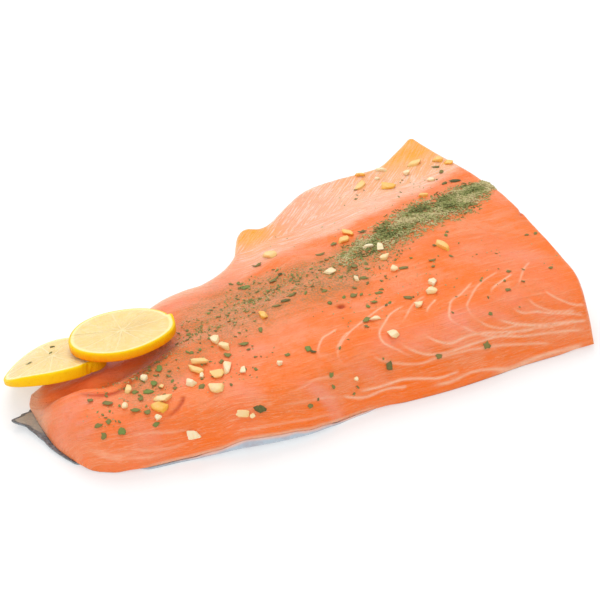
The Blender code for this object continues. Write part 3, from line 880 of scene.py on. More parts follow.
@dataclass(frozen=True)
class LemonFinish:
    """A cut lemon: juicy pulp in segments, pale pith and a waxy rind with pores, turned more orange towards
    its underside by painted shade and a painted reflection of the salmon.
    """

    rind: Colour = (0.97, 0.62, 0.002)
    # painted shade and painted reflection of the salmon on the rind's lower side
    rind_shade_and_reflection: Colour = (0.94, 0.24, 0.001)
    pulp: Colour = (0.88, 0.7, 0.33)
    juice: Colour = (0.87, 0.62, 0.23)
    ripe: Colour = (0.8, 0.55, 0.22)
    membrane: Colour = (0.94, 0.81, 0.47)
    pith: Colour = (0.96, 0.83, 0.4)

    def material(self) -> bpy.types.Material:
        """Builds the material."""
        g = Graph(
            "cut_lemon", Roughness=0.36, IOR=1.36, Subsurface_Weight=0.3, Subsurface_Scale=0.004,
            Subsurface_Radius=(1.0, 0.8, 0.25), Specular_IOR_Level=0.16, Coat_Weight=0.04,
            Coat_Roughness=0.14,
        )
        place = g.place()
        cells = g.cells(g.vector("cell"), 1.0)
        pores = g.cells(place, 1.1)
        clouds = g.noise(place, 0.11, 3, 0.5)
        fine = g.noise(place, 0.6, 3, 0.6)
        # the rind turns orange towards its underside: painted shade and reflected salmon
        rind = g.layered(
            self.rind, (g.mask("low"), self.rind_shade_and_reflection), (g.ease(fine, 0.3, 0.75, 0.0, 0.3), self.rind)
        )
        colour = g.layered(
            self.pulp,
            (g.ease(cells, 0.2, 0.8, 0.0, 0.55), self.juice),
            (g.ease(clouds, 0.42, 0.62, 0.0, 0.6), self.juice),
            (g.patchy("ripe", fine, 0.3, 0.6, 0.4, 0.9), self.ripe),
            (g.patchy("membrane", clouds, 0.36, 0.6, 0.12, 0.5), self.membrane),
            (g.mask("pith"), self.pith),
            (g.mask("rind"), rind),
        )
        g.give("Base Color", colour)
        g.give("Roughness", g.ease(g.mask("rind"), 0.2, 0.8, 0.26, 0.44))
        flat = g.math("SUBTRACT", 1.0, g.plus(g.mask("rind"), g.mask("membrane")))
        g.relief((g.times(cells, flat), 0.3), (g.times(g.ease(pores, 0.1, 0.4), g.mask("rind")), 0.14))
        return g.material


@dataclass(frozen=True)
class CrumbFinish:
    """Dry seasoning whose pieces run from one colour to another, with mottling on each."""

    name: str
    first: Colour
    second: Colour
    third: Colour
    roughness: float
    glow: float = 0.0

    def material(self) -> bpy.types.Material:
        """Builds the material."""
        g = Graph(
            self.name, Roughness=self.roughness, Subsurface_Weight=self.glow, Subsurface_Scale=0.002,
            Subsurface_Radius=(1.0, 0.7, 0.35), Specular_IOR_Level=0.25,
        )
        tone = g.mask("tone")
        mottle = g.noise(g.place(), 0.9, 3, 0.6)
        colour = g.layered(
            self.first,
            (g.ease(tone, 0.0, 0.55), self.second),
            (g.ease(tone, 0.5, 1.0), self.third),
            (g.times(g.ease(mottle, 0.45, 0.7), 0.45), self.second),
        )
        g.give("Base Color", colour)
        g.relief((mottle, 0.12))
        return g.material


class Seasoning(Enum):
    """The finishes of what is strewn over the fish."""

    GARLIC = CrumbFinish("garlic", (0.92, 0.77, 0.52), (0.92, 0.6, 0.24), (0.92, 0.45, 0.05), 0.5, 0.3)
    HERB = CrumbFinish("dried_herb", (0.18, 0.26, 0.06), (0.23, 0.2, 0.06), (0.08, 0.08, 0.025), 0.7)
    DILL = CrumbFinish("dried_dill", (0.72, 0.61, 0.33), (0.36, 0.38, 0.13), (0.12, 0.14, 0.04), 0.75)


# ---------------------------------------------------------------- fish


@dataclass
class Flesh:
    """The fish: its relief, its zones of colour and its mesh."""

    form: FilletForm
    setting: Setting
    seams: Seams = field(default_factory=Seams)
    finish: FleshFinish = field(default_factory=FleshFinish)
    under_turns: int = 8
    crease_depth: float = 0.5
    crease_shade: float = 1.5
    crease_shade_shift: tuple[float, float] = (-0.6, -1.5)
    # width of the painted shade band along the crease
    crease_shade_bed: float = 3.2
    ledge_depth: float = 0.5
    notch_depth: float = 0.9
    notch_width: float = 0.8
    fold_depth: float = 0.35
    sweep_depth: float = 0.22
    arch_depth: float = 0.2
    loin_line_depth: float = 0.2
    pit_reach: float = 1.7
    pit_depth: float = 1.1
    unevenness: float = 0.4
    fine_unevenness: float = 0.14
    lined_band: Run = (2, 5, 16, 34)
    bends_run: Run = (-24, 0, 64, 84)
    deep_loin_run: Run = (-112, -96, 30, 80)
    # where the lemon slices' shadow is painted on the flesh
    lemon_shadow_run: Run = (-142, -132, -112, -96)
    skin_rim_run: Run = (-124, -114, -40, -10)
    narrow_rim_run: Run = (-110, -90, -32, -8)
    dust_run: Run = (-124, -104, 118, 128)
    belly_line: Table = (
        (-143, 20), (-60, 19), (-35, 17), (-8, 20), (18, 24), (39, 18.5), (64, 20), (85, 25), (106, 29),
        (132, 33),
    )
    quill_height: float = 39.0
    quill_start: float = -10.0
    gold_patches: tuple[Patch, ...] = (Patch(126, 75, 50, 38, 1.5, 0), Patch(4, 55, 26, 30, 1.5, 0))
    cut_patch: Patch = Patch(90, -76, 30, 22, 0.6, 0)
    # patches of pink flesh, partly painted sheen
    pink_and_sheen_patches: tuple[Patch, ...] = (
        Patch(-133, -25, 20, 13), Patch(-141, -27, 10, 12), Patch(-117, -54, 16, 9, 0.7),
        Patch(-103, -16, 24, 5), Patch(-92, -40, 12, 9, 0.7), Patch(-137, -38, 12, 8, 0.6),
        Patch(-53, 18, 30, 9, 0.8), Patch(-35, 24, 14, 8), Patch(-54, -44, 12, 7, 0.8),
        Patch(-58, -25, 16, 10, 0.8), Patch(-91, -41, 10, 8, 0.7), Patch(-46, -74, 16, 5),
        Patch(-41, -80, 20, 4), Patch(-72, -63, 14, 6, 0.6), Patch(0, -45, 7, 5), Patch(21, -84, 14, 5),
        Patch(49, -86, 20, 5), Patch(-21, -77, 16, 5), Patch(28, -77, 9, 6), Patch(87, -58, 20, 10, 0.6),
        Patch(24, -47, 16, 8, 0.7), Patch(65, -90, 22, 5, 0.9), Patch(34, -86, 18, 4),
        Patch(7, -81, 14, 4, 0.8), Patch(60, 16, 50, 6, 0.5), Patch(10, 16, 40, 8, 0.6),
    )
    deep_patches: tuple[Patch, ...] = (
        Patch(-131, -42, 9, 9), Patch(-127, -49, 12, 8), Patch(-109, -59, 24, 7), Patch(-112, -25, 13, 4),
        Patch(-83, -17, 14, 8), Patch(-132, -3, 16, 6), Patch(-122, -9, 14, 5), Patch(-89, -67, 30, 6),
        Patch(-54, -63, 22, 9, 0.8), Patch(-43, -61, 12, 8, 0.7), Patch(-38, 17, 16, 6, 0.8),
        Patch(-24, -43, 11, 6), Patch(-26, -32, 14, 6, 0.7), Patch(-88, -22, 16, 8, 0.8),
        Patch(-81, -64, 14, 6, 0.7), Patch(-43, -81, 26, 4), Patch(-12, -66, 15, 9), Patch(16, -70, 22, 9),
        Patch(45, -75, 11, 8), Patch(32, -76, 8, 8, 0.7), Patch(90, -80, 14, 12, 0.7),
        Patch(93, -51, 20, 14, 0.8), Patch(-13, -60, 12, 8, 0.6), Patch(-2, -89, 24, 5),
        Patch(8, -88, 20, 4, 0.8), Patch(68, -84, 22, 5, 0.8), Patch(34, 14, 34, 6, 0.6),
        Patch(50, -40, 26, 16, 0.5),
    )
    dust_line: Table = (
        (-118, -36), (-98, -28), (-77, -17), (-48, -8), (-34, -6), (-18, -9), (-6, -14), (9, -17),
        (25, -11), (57, -6), (85, 1), (110, 6), (122, 9),
    )
    dust_width: Table = (
        (-118, 11), (-98, 14), (-77, 20), (-48, 27), (-34, 27), (-18, 25), (-6, 23), (9, 20), (25, 15),
        (57, 14), (85, 16), (110, 13), (122, 9),
    )

    def __post_init__(self) -> None:
        """Works out the relief and the zones of colour over the grid."""
        form, seams = self.form, self.seams
        x, y = form.x, form.y
        self.uneven, self.broad = wander(x, y, 15, 3.5), wander(x, y, 40, 7.5)
        fine = wander(x, y, 5.5, 9.5)
        arch = strongest(seams.arch_strokes(), x, y, form.slope)
        sweep = strongest(seams.sweep_strokes(), x, y, form.slope)
        low_lines = strongest(seams.loin_strokes(), x, y, form.slope)
        folds = strongest(seams.fold_strokes(), x, y)
        # the crease, ledge, notch and pit are sunk into the relief and also carry painted shade
        crease = seams.crease_stroke(seams.crease_width).read(x, y)
        shade = seams.crease_stroke(self.crease_shade, self.crease_shade_shift).read(x, y)
        # painted shade: a wide band along the crease, laid in as deeper orange
        crease_bed_shade = seams.crease_stroke(self.crease_shade_bed).read(x, y)
        ledge = Stroke(seams.ledge, seams.crease_width, 1.0, (0.05, 0.8)).read(x, y)
        notch = Stroke(seams.notch, self.notch_width, 1.0, (0.05, 0.3)).read(x, y)
        pit = hump(np.hypot(x - seams.pit[0], (y - seams.pit[1]) * 1.3) / self.pit_reach)
        past_line = y - between(self.belly_line, x) + 1.6 * self.uneven
        half = smoothstep(-5.0, 4.5, past_line + 1.5 * fine)

        sunk = (
            (self.crease_depth, crease), (self.ledge_depth, ledge), (self.pit_depth, pit),
            (self.notch_depth, notch), (self.sweep_depth, sweep), (self.arch_depth, arch),
            (self.fold_depth, folds), (self.loin_line_depth, low_lines),
        )
        relief = self.unevenness * self.uneven + self.fine_unevenness * fine
        relief -= sum(depth * mark for depth, mark in sunk)
        self.height = form.top + relief * smoothstep(0.15, 0.7, form.fullness)
        self.zones = {
            "seam": np.maximum(np.maximum(arch, sweep), low_lines),
            "lined": self.lined(),
            "streak": half * smoothstep(-38, 4, x),
            "belly": half * smoothstep(-34, 2, x) * (0.8 + 0.25 * self.broad),
            # pink colour, partly painted sheen
            "pink_and_sheen": self.pink_and_sheen(half, folds),
            "gold": self.gold(),
            # deeper orange, plus painted shade beside the lemon slices and along the crease
            "rich_and_shaded": self.rich_and_shaded(past_line) + 0.9 * crease_bed_shade,
            "rim": self.rim_line(),
            "dust": self.dust(),
            # painted shade: darkens the shifted crease line, the ledge, the pit and the notch
            "painted_shade": 0.9 * shade * (0.9 + 0.5 * self.uneven) + 0.8 * ledge + 1.8 * pit + 0.6 * notch,
        }

    def lined(self) -> Array:
        """Where fine lines run along the loin edge and the tail."""
        return window(self.form.over[1], *self.lined_band) * (0.8 + 0.5 * self.broad)

    def pink_and_sheen(self, half: Array, folds: Array) -> Array:
        """Where the flesh is pink or carries a painted pink sheen: the tail, the thin half's narrow part and
        the bends of the seams.

        Args:
            half: Where the thin belly half is.
            folds: The tail's fine folds.

        Returns:
            The zone, before it is kept between 0 and 1.
        """
        form, x = self.form, self.form.x
        tail = fade(-122, -80, x + 8 * self.broad)
        bends = hump((form.to_loin - 17 - 0.07 * x) / 5.5) * window(x, *self.bends_run)
        upper = hump((form.y + 12 - 0.1 * x) / 9) * smoothstep(50, 80, x)
        patches = patched(self.pink_and_sheen_patches, x, form.y) * (0.85 + 0.4 * self.uneven)
        return (
            0.2 * tail + 0.7 * half * fade(-30, 6, x) + 0.6 * bends * (0.75 + self.uneven) + 0.25 * upper
            + 0.35 * smoothstep(0.15, 0.5, self.broad) + 0.7 * folds + 0.8 * patches
        )

    def gold(self) -> Array:
        """Where the flesh is thin and golden: the belly corner, the point of the notch and the far rims."""
        form, x, y = self.form, self.form.x, self.form.y
        thin = fade(0.5, 4.0, np.minimum(form.to_belly, form.to_wide + 1.0))
        wide = smoothstep(40, 90, x) * smoothstep(30, 44, y)
        return patched(self.gold_patches, x, y) + 0.3 * wide + 0.6 * thin * (0.8 + 0.8 * self.uneven)

    def rich_and_shaded(self, past_line: Array) -> Array:
        """Where the flesh is deepest in colour, with painted shade where the lemon slices shadow the flesh.

        Args:
            past_line: Distance past the line where the belly half starts.

        Returns:
            The zone, before it is kept between 0 and 1.
        """
        form, x, loin = self.form, self.form.x, self.form.over[1]
        under_line = hump((past_line + 7) / 3.6) * smoothstep(10, 45, x)
        along_loin = smoothstep(1.5, 3.5, loin) * fade(6, 15, loin + 3 * self.uneven)
        along_loin *= window(x, *self.deep_loin_run)
        # painted shadow of the lemon slices on the flesh beside them
        painted_lemon_shadow = window(x, *self.lemon_shadow_run) * smoothstep(-28, -16, form.y)
        between_arches = smoothstep(0.05, 0.45, wander(form.x, form.y, 13, 21.5)) * smoothstep(-20, 8, x)
        between_arches *= hump((form.to_loin - 32) / 14)
        patches = patched(self.deep_patches, x, form.y) * (0.85 + 0.5 * self.uneven)
        return (
            0.5 * under_line + 0.7 * along_loin + 0.45 * between_arches + 0.6 * painted_lemon_shadow
            + self.cut_patch.read(x, form.y) + 0.9 * patches
        )

    def rim_line(self) -> Array:
        """The pale line where the flesh meets the skin, the pale edge of the tail end, a pale rim by the
        narrow belly edge, and painted light that lightens the wide cut end.
        """
        form, x = self.form, self.form.x
        by_skin = fade(0.6, 2.2, form.over[1]) * window(x, *self.skin_rim_run)
        tail = fade(3.0, 12.0, form.over[0] + 5 * self.uneven) * smoothstep(-22, -10, form.y)
        # painted light: lightens the wide cut end, whose side faces away from the key lamp
        cut = fade(1.0, 6.0, form.to_wide + 3 * self.uneven) * smoothstep(-100, -80, form.y)
        narrow = fade(2, 13, form.to_belly + 4 * self.uneven) * window(x, *self.narrow_rim_run)
        return 0.7 * by_skin + 0.75 * tail + 0.3 * cut + narrow

    def dust(self) -> Array:
        """Where fine seasoning tints the flesh."""
        x, y = self.form.x, self.form.y
        off = (y - between(self.dust_line, x)) / between(self.dust_width, x)
        heavy = 0.75 + 0.25 * smoothstep(-70, -40, x)
        return heavy * hump(off**2) * window(x, *self.dust_run)

    def build(self) -> bpy.types.Object:
        """Makes the flesh mesh, closed underneath."""
        form, rim, shell = self.form, Rim(self.form), Shell()
        x, y, flat = form.x, form.y, 0 * form.x
        grain = np.stack([*form.over, flat], axis=-1)
        wing = (y > self.quill_height) & (x > self.quill_start)
        belly_comb = np.stack([x, y + 0.2 * x - 0.0006 * x * x, flat], axis=-1)
        wing_comb = np.stack([x + 0.64 * y, 0.8 * (y - 0.64 * x) + 60, flat], axis=-1)
        comb = np.where(wing[..., None], wing_comb, belly_comb)
        zones = {name: np.clip(zone, 0, 1) for name, zone in self.zones.items()}
        flat_zones = {name: zone.ravel() for name, zone in zones.items()}
        index = shell.add_points(
            np.stack([x, y, self.height], axis=-1), grain=grain.reshape(-1, 3), comb=comb.reshape(-1, 3),
            **flat_zones,
        ).reshape(x.shape)
        shell.add_grid(index)
        i, j = np.array(rim.cells).T
        ring = index[i, j]
        border = {name: zone[i, j] for name, zone in zones.items()}
        for turn in range(1, self.under_turns + 1):
            angle = math.pi / 2 * turn / self.under_turns
            inner = shell.add_points(rim.flesh_ring(angle), grain=grain[i, j], comb=comb[i, j], **border)
            shell.add_strip(inner, ring)
            ring = inner
        shell.faces.append(ring[::-1].tolist())
        self.shell = shell
        return shell.piece("salmon_flesh", self.setting, self.finish.material())


@dataclass
class Skin:
    """The skin under the flesh, up its loin flank and out past its tail end."""

    form: FilletForm
    setting: Setting
    finish: SkinFinish = field(default_factory=SkinFinish)
    turns: int = 22
    grown_gap: float = 0.03
    edge_share: float = 0.25

    def build(self) -> bpy.types.Object:
        """Makes the skin as a thin closed shell."""
        form, rim, shell = self.form, Rim(self.form), Shell()
        x, y = rim.place.T
        near_tail = fade(-136, -122, x) + 0.35 * fade(-112, -92, x)
        by_loin = smoothstep(-120, -104, x) * (y < -40)
        sheets = []
        for depth in (self.grown_gap, form.skin_gap + form.skin_thickness):
            rings = []
            for turn in range(self.turns + 1):
                angle = math.pi / 2 * turn / self.turns
                taper = self.edge_share + (1 - self.edge_share) * math.sin(min(3 * angle, math.pi / 2))
                points, beyond = rim.skin_ring(angle, depth * taper)
                uneven = wander(points[:, 0], points[:, 1], 5, 2.5)
                # the flap's inner side near the flesh, whose colour holds painted shade
                inner = (depth == self.grown_gap) * smoothstep(-17, -9, y) * near_tail * (beyond > 0)
                inner = inner * smoothstep(1.6, 3.2, rim.reach - beyond + uneven)
                blush = by_loin * fade(-0.1, 1.3, rim.height - points[:, 2] + 0.5 * uneven)
                zones = {"dark": near_tail * (0.85 + 0.5 * uneven), "inner": inner, "blush": blush}
                zones = {name: np.clip(zone, 0, 1) for name, zone in zones.items()}
                rings.append(shell.add_points(points, **zones))
            sheets.append(rings)
        upper, lower = sheets
        shell.add_tube([*lower[::-1], *upper])
        shell.faces += [upper[-1].tolist(), lower[-1][::-1].tolist()]
        return shell.piece("salmon_skin", self.setting, self.finish.material())


# ---------------------------------------------------------------- lemon


@dataclass
class LemonSlice:
    """A round slice of lemon, tilted and bent, with segments, pith and rind."""

    name: str
    node: str
    setting: Setting
    middle: tuple[float, float, float]
    radius: float
    thickness: float
    rise: tuple[float, float]
    bend: tuple[float, float]
    turn: float = -36
    raised: float = 0.0
    segments: int = 9
    segment_turn: float = 0.3
    hub: tuple[float, float] = (0.6, -0.4)
    rind_thickness: float = 1.1
    pith_thickness: float = 1.3
    membrane_width: float = 0.34
    rind_rounding: float = 0.8
    rind_wave: float = 0.35
    # start and span of the painted shade and reflection on the rind, over the slice's depth
    rind_shade_and_reflection: tuple[float, float] = (0.0, 1.0)
    ripe_spot: tuple[float, float, float] = (0.0, 0.0, 0.01)
    torn: tuple[float, float, float, float] = (0.0, 1.0, 0.0, 0.0)
    lifted: tuple[float, float, float] = (0.0, 1.0, 0.0)
    thinned: tuple[float, float, float] = (0.0, 1.0, 0.0)
    sides: int = 240
    face_rings: int = 46

    def axes(self) -> tuple[Vector, Vector, Vector]:
        """The slice's two own directions and its upward one."""
        turn = math.radians(self.turn)
        first = Vector((math.cos(turn), math.sin(turn), self.rise[0])).normalized()
        heading = Vector((-math.sin(turn), math.cos(turn), self.rise[1]))
        upward = first.cross(heading).normalized()
        return first, upward.cross(first), upward

    @staticmethod
    def near_angle(angle: Array, spot: float, width: float) -> Array:
        """1 at an angle round the slice, falling off to both sides."""
        return hump(np.angle(np.exp(1j * (angle - spot))) / width)

    def ring(self, reach: float, depth: float) -> tuple[Array, Array, Array]:
        """One ring of the slice.

        Args:
            reach: Distance from the middle, before the rim's waves.
            depth: Distance below the upper face.

        Returns:
            The points, and their places along the slice's two directions.
        """
        angle = around(self.sides)
        wave = self.rind_wave * (np.sin(3 * angle + 1) + 0.6 * np.sin(5 * angle + 2))
        share = (reach / self.radius) ** 8
        spot, width, thinning = self.thinned
        depth = depth * (1 - self.near_angle(angle, spot, width) * thinning * (reach / self.radius) ** 2)
        spot, width, bite, ragged = self.torn
        tear = self.near_angle(angle, spot, width)
        tear = tear * (bite + ragged * np.sin(31 * angle) * np.sin(13 * angle + depth))
        out = reach / self.radius * (self.radius + wave) - share * tear
        a, b = out * np.cos(angle), out * np.sin(angle)
        spot, width, height = self.lifted
        lift = self.near_angle(angle, spot, width) * height * share
        drop = depth + np.where(a > 0, self.bend[1], self.bend[0]) * a * a - lift
        return np.array(self.middle) + np.column_stack([a, b, -drop]) @ np.array(self.axes()), a, b

    def zones(self, a: Array, b: Array, reach: float, depth: float) -> dict[str, Array]:
        """Values that the finish reads: pulp cells, membranes, pith and rind."""
        angle = np.arctan2(b - self.hub[1], a - self.hub[0])
        out = np.hypot(a - self.hub[0], b - self.hub[1])
        rim = self.radius - self.rind_thickness - self.pith_thickness
        share = angle / (2 * math.pi) * self.segments + self.segment_turn
        share += 0.09 * np.sin(2 * angle + 1)
        offset = np.abs(share - np.round(share)) / self.segments * 2 * math.pi * out
        corner = np.clip((out - (rim - 3.0)) / 3.0, 0, 1) ** 2 * 1.2
        membrane = np.maximum(
            fade(self.membrane_width * 0.5, self.membrane_width * 1.7, offset - corner),
            fade(0.8, 2.2, out + np.sin(3 * angle)),
        )
        spot_a, spot_b, spot_reach = self.ripe_spot
        ripe = hump(np.hypot(a - spot_a, b - spot_b) / spot_reach)
        reach_here = np.full(a.shape, reach)
        pith = smoothstep(rim - 0.4, rim + 0.5, reach_here)
        inside = self.radius - self.rind_thickness
        rind = smoothstep(inside - 0.25, inside + 0.15, reach_here)
        bowed = 0.3 * np.sin(out * 0.9 + 4 * np.floor(share))
        cell = np.stack([angle * 11 + bowed, out * 0.34, np.full(a.shape, 0.2 * depth)], axis=-1)
        # painted shade and reflection: the rind grows more orange with depth below the upper face
        start, span = self.rind_shade_and_reflection
        low = np.full(a.shape, start + span * depth / self.thickness)
        return {"membrane": membrane, "pith": pith, "rind": rind, "cell": cell, "low": low, "ripe": ripe}

    def levels(self) -> list[tuple[float, float]]:
        """Reach and depth of each ring, from the middle of the top to the middle of the bottom."""
        edge, top = self.rind_rounding, self.radius - self.rind_rounding
        face = [(top * step / self.face_rings, 0.0) for step in range(1, self.face_rings + 1)]
        turns = np.linspace(0.25, math.pi / 2, 5)
        turned = [(top + edge * math.sin(turn), edge * (1 - math.cos(turn))) for turn in turns]
        side = [(self.radius, edge + (self.thickness - 2 * edge) * step / 6) for step in range(1, 6)]
        under = [(out, self.thickness - depth) for out, depth in [*face, *turned][::-1]]
        return [*face, *turned, *side, *under]

    def build(self) -> bpy.types.Object:
        """Makes the slice, as low as its solid."""
        lowest = min(self.ring(reach, depth)[0][:, 2].min() for reach, depth in self.levels())
        x, y, z = self.middle
        self.middle = (x, y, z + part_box(self.node)[0].z / MM - lowest + self.raised)
        shell, rings = Shell(), []
        for reach, depth in self.levels():
            points, a, b = self.ring(reach, depth)
            rings.append(shell.add_points(points, **self.zones(a, b, reach, depth)))
        shell.add_tube(rings[::-1])
        upward = self.axes()[2]
        for ring, depth in ((rings[0], 0.0), (rings[-1][::-1], self.thickness)):
            hub = shell.add_points(
                np.array(self.middle) - np.array(upward) * depth,
                membrane=1.0, pith=0.0, rind=0.0, cell=np.zeros((1, 3)), low=0.0, ripe=0.0,
            )[0]
            shell.add_fan(hub, ring)
        self.shell = shell
        return shell.piece(self.name, self.setting, LemonFinish().material())


# ---------------------------------------------------------------- seasoning


@dataclass(frozen=True)
class Bit:
    """One garlic chip or herb leaf: its place, size, turn and tone."""

    x: float
    y: float
    length: float
    width: float
    turn: float
    tone: float


class Ground:
    """What the seasoning lies on."""

    ABOVE = 100
    STEEPEST = 0.35

    def __init__(self, flesh: Shell, slices: list[Shell]) -> None:
        """Takes the surfaces of the flesh and of the lemon slices."""
        self.flesh = self.tree(flesh)
        self.slices = [self.tree(slice_shell) for slice_shell in slices]

    @staticmethod
    def tree(shell: Shell) -> BVHTree:
        """A search tree over a mesh in the making."""
        return BVHTree.FromPolygons(np.vstack(shell.points).tolist(), shell.faces)

    def find(self, x: float, y: float, on_slice: bool = False) -> tuple[Vector, Vector] | None:
        """The surface straight below a place.

        Args:
            x: Place along the fillet.
            y: Place across the fillet.
            on_slice: Whether the lemon slices are what the seasoning lies on.

        Returns:
            The point and the upward normal, or None where there is nothing or a slice covers it.
        """
        above, down = Vector((x, y, self.ABOVE)), Vector((0, 0, -1))
        covers = [tree.ray_cast(above, down) for tree in self.slices]
        covers = [hit for hit in covers if hit[0] is not None]
        if on_slice:
            hit = max(covers, key=lambda cover: cover[0].z, default=(None, None))
        elif covers:
            return None
        else:
            hit = self.flesh.ray_cast(above, down)
        if hit[0] is None or abs(hit[1].z) < self.STEEPEST:
            return None
        return hit[0], hit[1] if hit[1].z > 0 else -hit[1]


def own_axes(normal: Vector, turn: float) -> Array:
    """Three directions for a thing that lies on a surface: along, across and up, as rows."""
    up = (normal + Vector((0, 0, 0.4))).normalized()
    forward = Vector((math.cos(turn), math.sin(turn), 0))
    side = up.cross(forward).normalized()
    return np.array([side.cross(up), side, up])


@dataclass
class GarlicChips:
    """Chopped dried garlic: blunt little blocks with cut sides."""

    ground: Ground
    setting: Setting
    seed: int = 5
    fineness: int = 8
    height: tuple[float, float] = (1.5, 2.1)
    sharpness: float = 22
    skew: float = 0.38
    sunk: float = 0.36
    chips: tuple[Bit, ...] = (
        Bit(-104.1, -45.3, 5.2, 3.2, -36, 0.35), Bit(-107.5, -48.4, 6.0, 3.4, -48, 0.85),
        Bit(-110.1, -51.6, 2.2, 2, 0, 0.1), Bit(-118.4, -39.9, 2.6, 2.2, 54, 0.2),
        Bit(-111.6, -31.3, 4.6, 2.4, 54, 0.45), Bit(-102.9, -29, 2.8, 2.6, 10, 0.0),
        Bit(-89.1, -44.2, 3.4, 2.8, -62, 0.05), Bit(-99.6, -62, 4.4, 2.8, -30, 0.1),
        Bit(-79.1, -35.2, 6.4, 2.8, -28, 0.5), Bit(-82.8, -39.1, 6.2, 2.6, -62, 0.6),
        Bit(-82.8, -43.3, 2, 1.6, 54, 0.1), Bit(-77.3, -47.4, 4.8, 3.8, -10, 0.6),
        Bit(-82.7, -54.2, 5.2, 3.8, -20, 0.35), Bit(-71.7, -45.8, 6.8, 2.7, 56, 0.15),
        Bit(-65.7, -27.3, 4.2, 3.2, 50, 0.2), Bit(-64.8, -33.4, 5.4, 2.6, -66, 0.35),
        Bit(-67.6, -51.8, 2.6, 2.2, 60, 0.05), Bit(-52.4, -57.4, 2.2, 2, 0, 0.0),
        Bit(-78.5, -68.1, 5, 2.6, -28, 0.4), Bit(-75.6, -70.2, 2.2, 1.8, 0, 0.3),
        Bit(-99.6, -38.3, 1.8, 1.4, 40, 0.5), Bit(-0.5, 24.1, 7.2, 3.4, -58, 0.45),
        Bit(37.6, 11.9, 6.8, 2.8, -78, 0.75), Bit(31.2, 6.4, 4.8, 3.4, -20, 0.7),
        Bit(5.9, -16.4, 4.9, 4.2, 15, 0.2), Bit(32.1, -11.1, 5.0, 2.2, -36, 0.05),
        Bit(35.5, -15.6, 5.6, 2.6, 62, 0.0), Bit(31.5, -23.5, 3.8, 2.8, -30, 0.3),
        Bit(29.3, -34.1, 3.2, 2.8, 20, 0.25), Bit(11.2, -28.7, 2.4, 1.8, 60, 0.15),
        Bit(-39.3, -26.4, 5, 2.8, 78, 0.85), Bit(-0.4, -70.1, 4.2, 3.6, 10, 0.2),
        Bit(0.1, -57.3, 3.4, 2, -30, 0.1), Bit(-26.6, -77.4, 1.8, 1.6, 0, 0.2),
        Bit(36.5, -52.8, 3.8, 3, 40, 0.1), Bit(31.5, -57.8, 4.8, 3, -30, 0.3),
        Bit(20.9, -61.7, 2.8, 2, -20, 0.2), Bit(59.5, -32.9, 7, 2.8, -78, 0.7),
        Bit(114.2, 53.1, 5.2, 3, -36, 0.55), Bit(126.3, 47.1, 4.8, 3.4, -60, 0.75),
        Bit(128.4, 40.5, 4.2, 2.4, -36, 0.8), Bit(96.8, 59.9, 5.4, 1.8, -36, 0.05),
        Bit(84.6, 61.8, 4.6, 2.2, -36, 0.8), Bit(77, 52.3, 8.6, 2.9, 20, 0.55),
        Bit(89, 53.3, 2.4, 1.6, 0, 0.0), Bit(87.3, 41.6, 6.8, 3.2, -32, 0.8),
        Bit(109, 32.6, 4, 1.8, -36, 0.1), Bit(105.6, 48.3, 3.4, 2.6, 0, 0.2),
        Bit(93.6, 20.5, 5, 1.8, -20, 0.75),
    )

    def globe(self) -> tuple[Array, list]:
        """Unit directions over a subdivided cube, with its faces."""
        n, points, faces = self.fineness, [], []
        for axis in range(3):
            for sign in (-1, 1):
                start = len(points)
                for row in range(n + 1):
                    for column in range(n + 1):
                        u, v = (math.tan((2 * k / n - 1) * math.pi / 4) for k in (row, column))
                        point = [0.0, 0.0, 0.0]
                        point[axis], point[(axis + 1) % 3], point[(axis + 2) % 3] = sign, u * sign, v
                        points.append(point)
                for row in range(n):
                    for column in range(n):
                        first = start + row * (n + 1) + column
                        faces.append([first, first + n + 1, first + n + 2, first + 1])
        points = np.array(points)
        return points / np.linalg.norm(points, axis=1)[:, None], faces

    def build(self) -> bpy.types.Object:
        """Makes all the chips as one piece."""
        draw, shell = random.Random(self.seed), Shell()
        globe, faces = self.globe()
        for chip in self.chips:
            found = self.ground.find(chip.x, chip.y)
            if found is None:
                log.warning("no place for a garlic chip at %s, %s", chip.x, chip.y)
                continue
            spot, normal = found
            height = draw.uniform(*self.height) * min(1.0, 0.45 + chip.width / 5)
            half = (chip.length / 2, chip.width / 2, height / 2)
            cuts = []
            for axis in range(3):
                for sign in (-1, 1):
                    facing = np.array([draw.uniform(-self.skew, self.skew) for _ in range(3)])
                    facing[axis] = sign
                    cuts.append((facing / np.linalg.norm(facing), draw.uniform(0.9, 1.08)))
            for _ in range(3):
                ahead, aside = draw.choice((-1, 1)), draw.choice((-1, 1)) * draw.uniform(0.4, 1)
                facing = np.array([ahead, aside, draw.uniform(-0.3, 0.7)])
                cuts.append((facing / np.linalg.norm(facing), draw.uniform(0.92, 1.2)))
            near = [np.clip(globe @ facing / offset, 0, None) for facing, offset in cuts]
            total = sum(share**self.sharpness for share in near)
            body = globe / total[:, None] ** (1 / self.sharpness) * half
            body[:, 0] *= 1 + 0.09 * body[:, 1] * draw.uniform(-1, 1)
            body += 0.06 * np.sin(body[:, [1, 2, 0]] * 4 + draw.uniform(0, 6))
            axes = own_axes(normal, math.radians(chip.turn))
            points = np.array(spot) + body @ axes + axes[2] * height * self.sunk
            tone = np.clip(chip.tone + 0.22 * (0.6 - globe[:, 2]) + 0.08 * globe[:, 0], 0, 1)
            index = shell.add_points(points, tone=tone)
            shell.faces += [[int(index[k]) for k in face] for face in faces]
        return shell.piece("garlic_chips", self.setting, Seasoning.GARLIC.value.material())


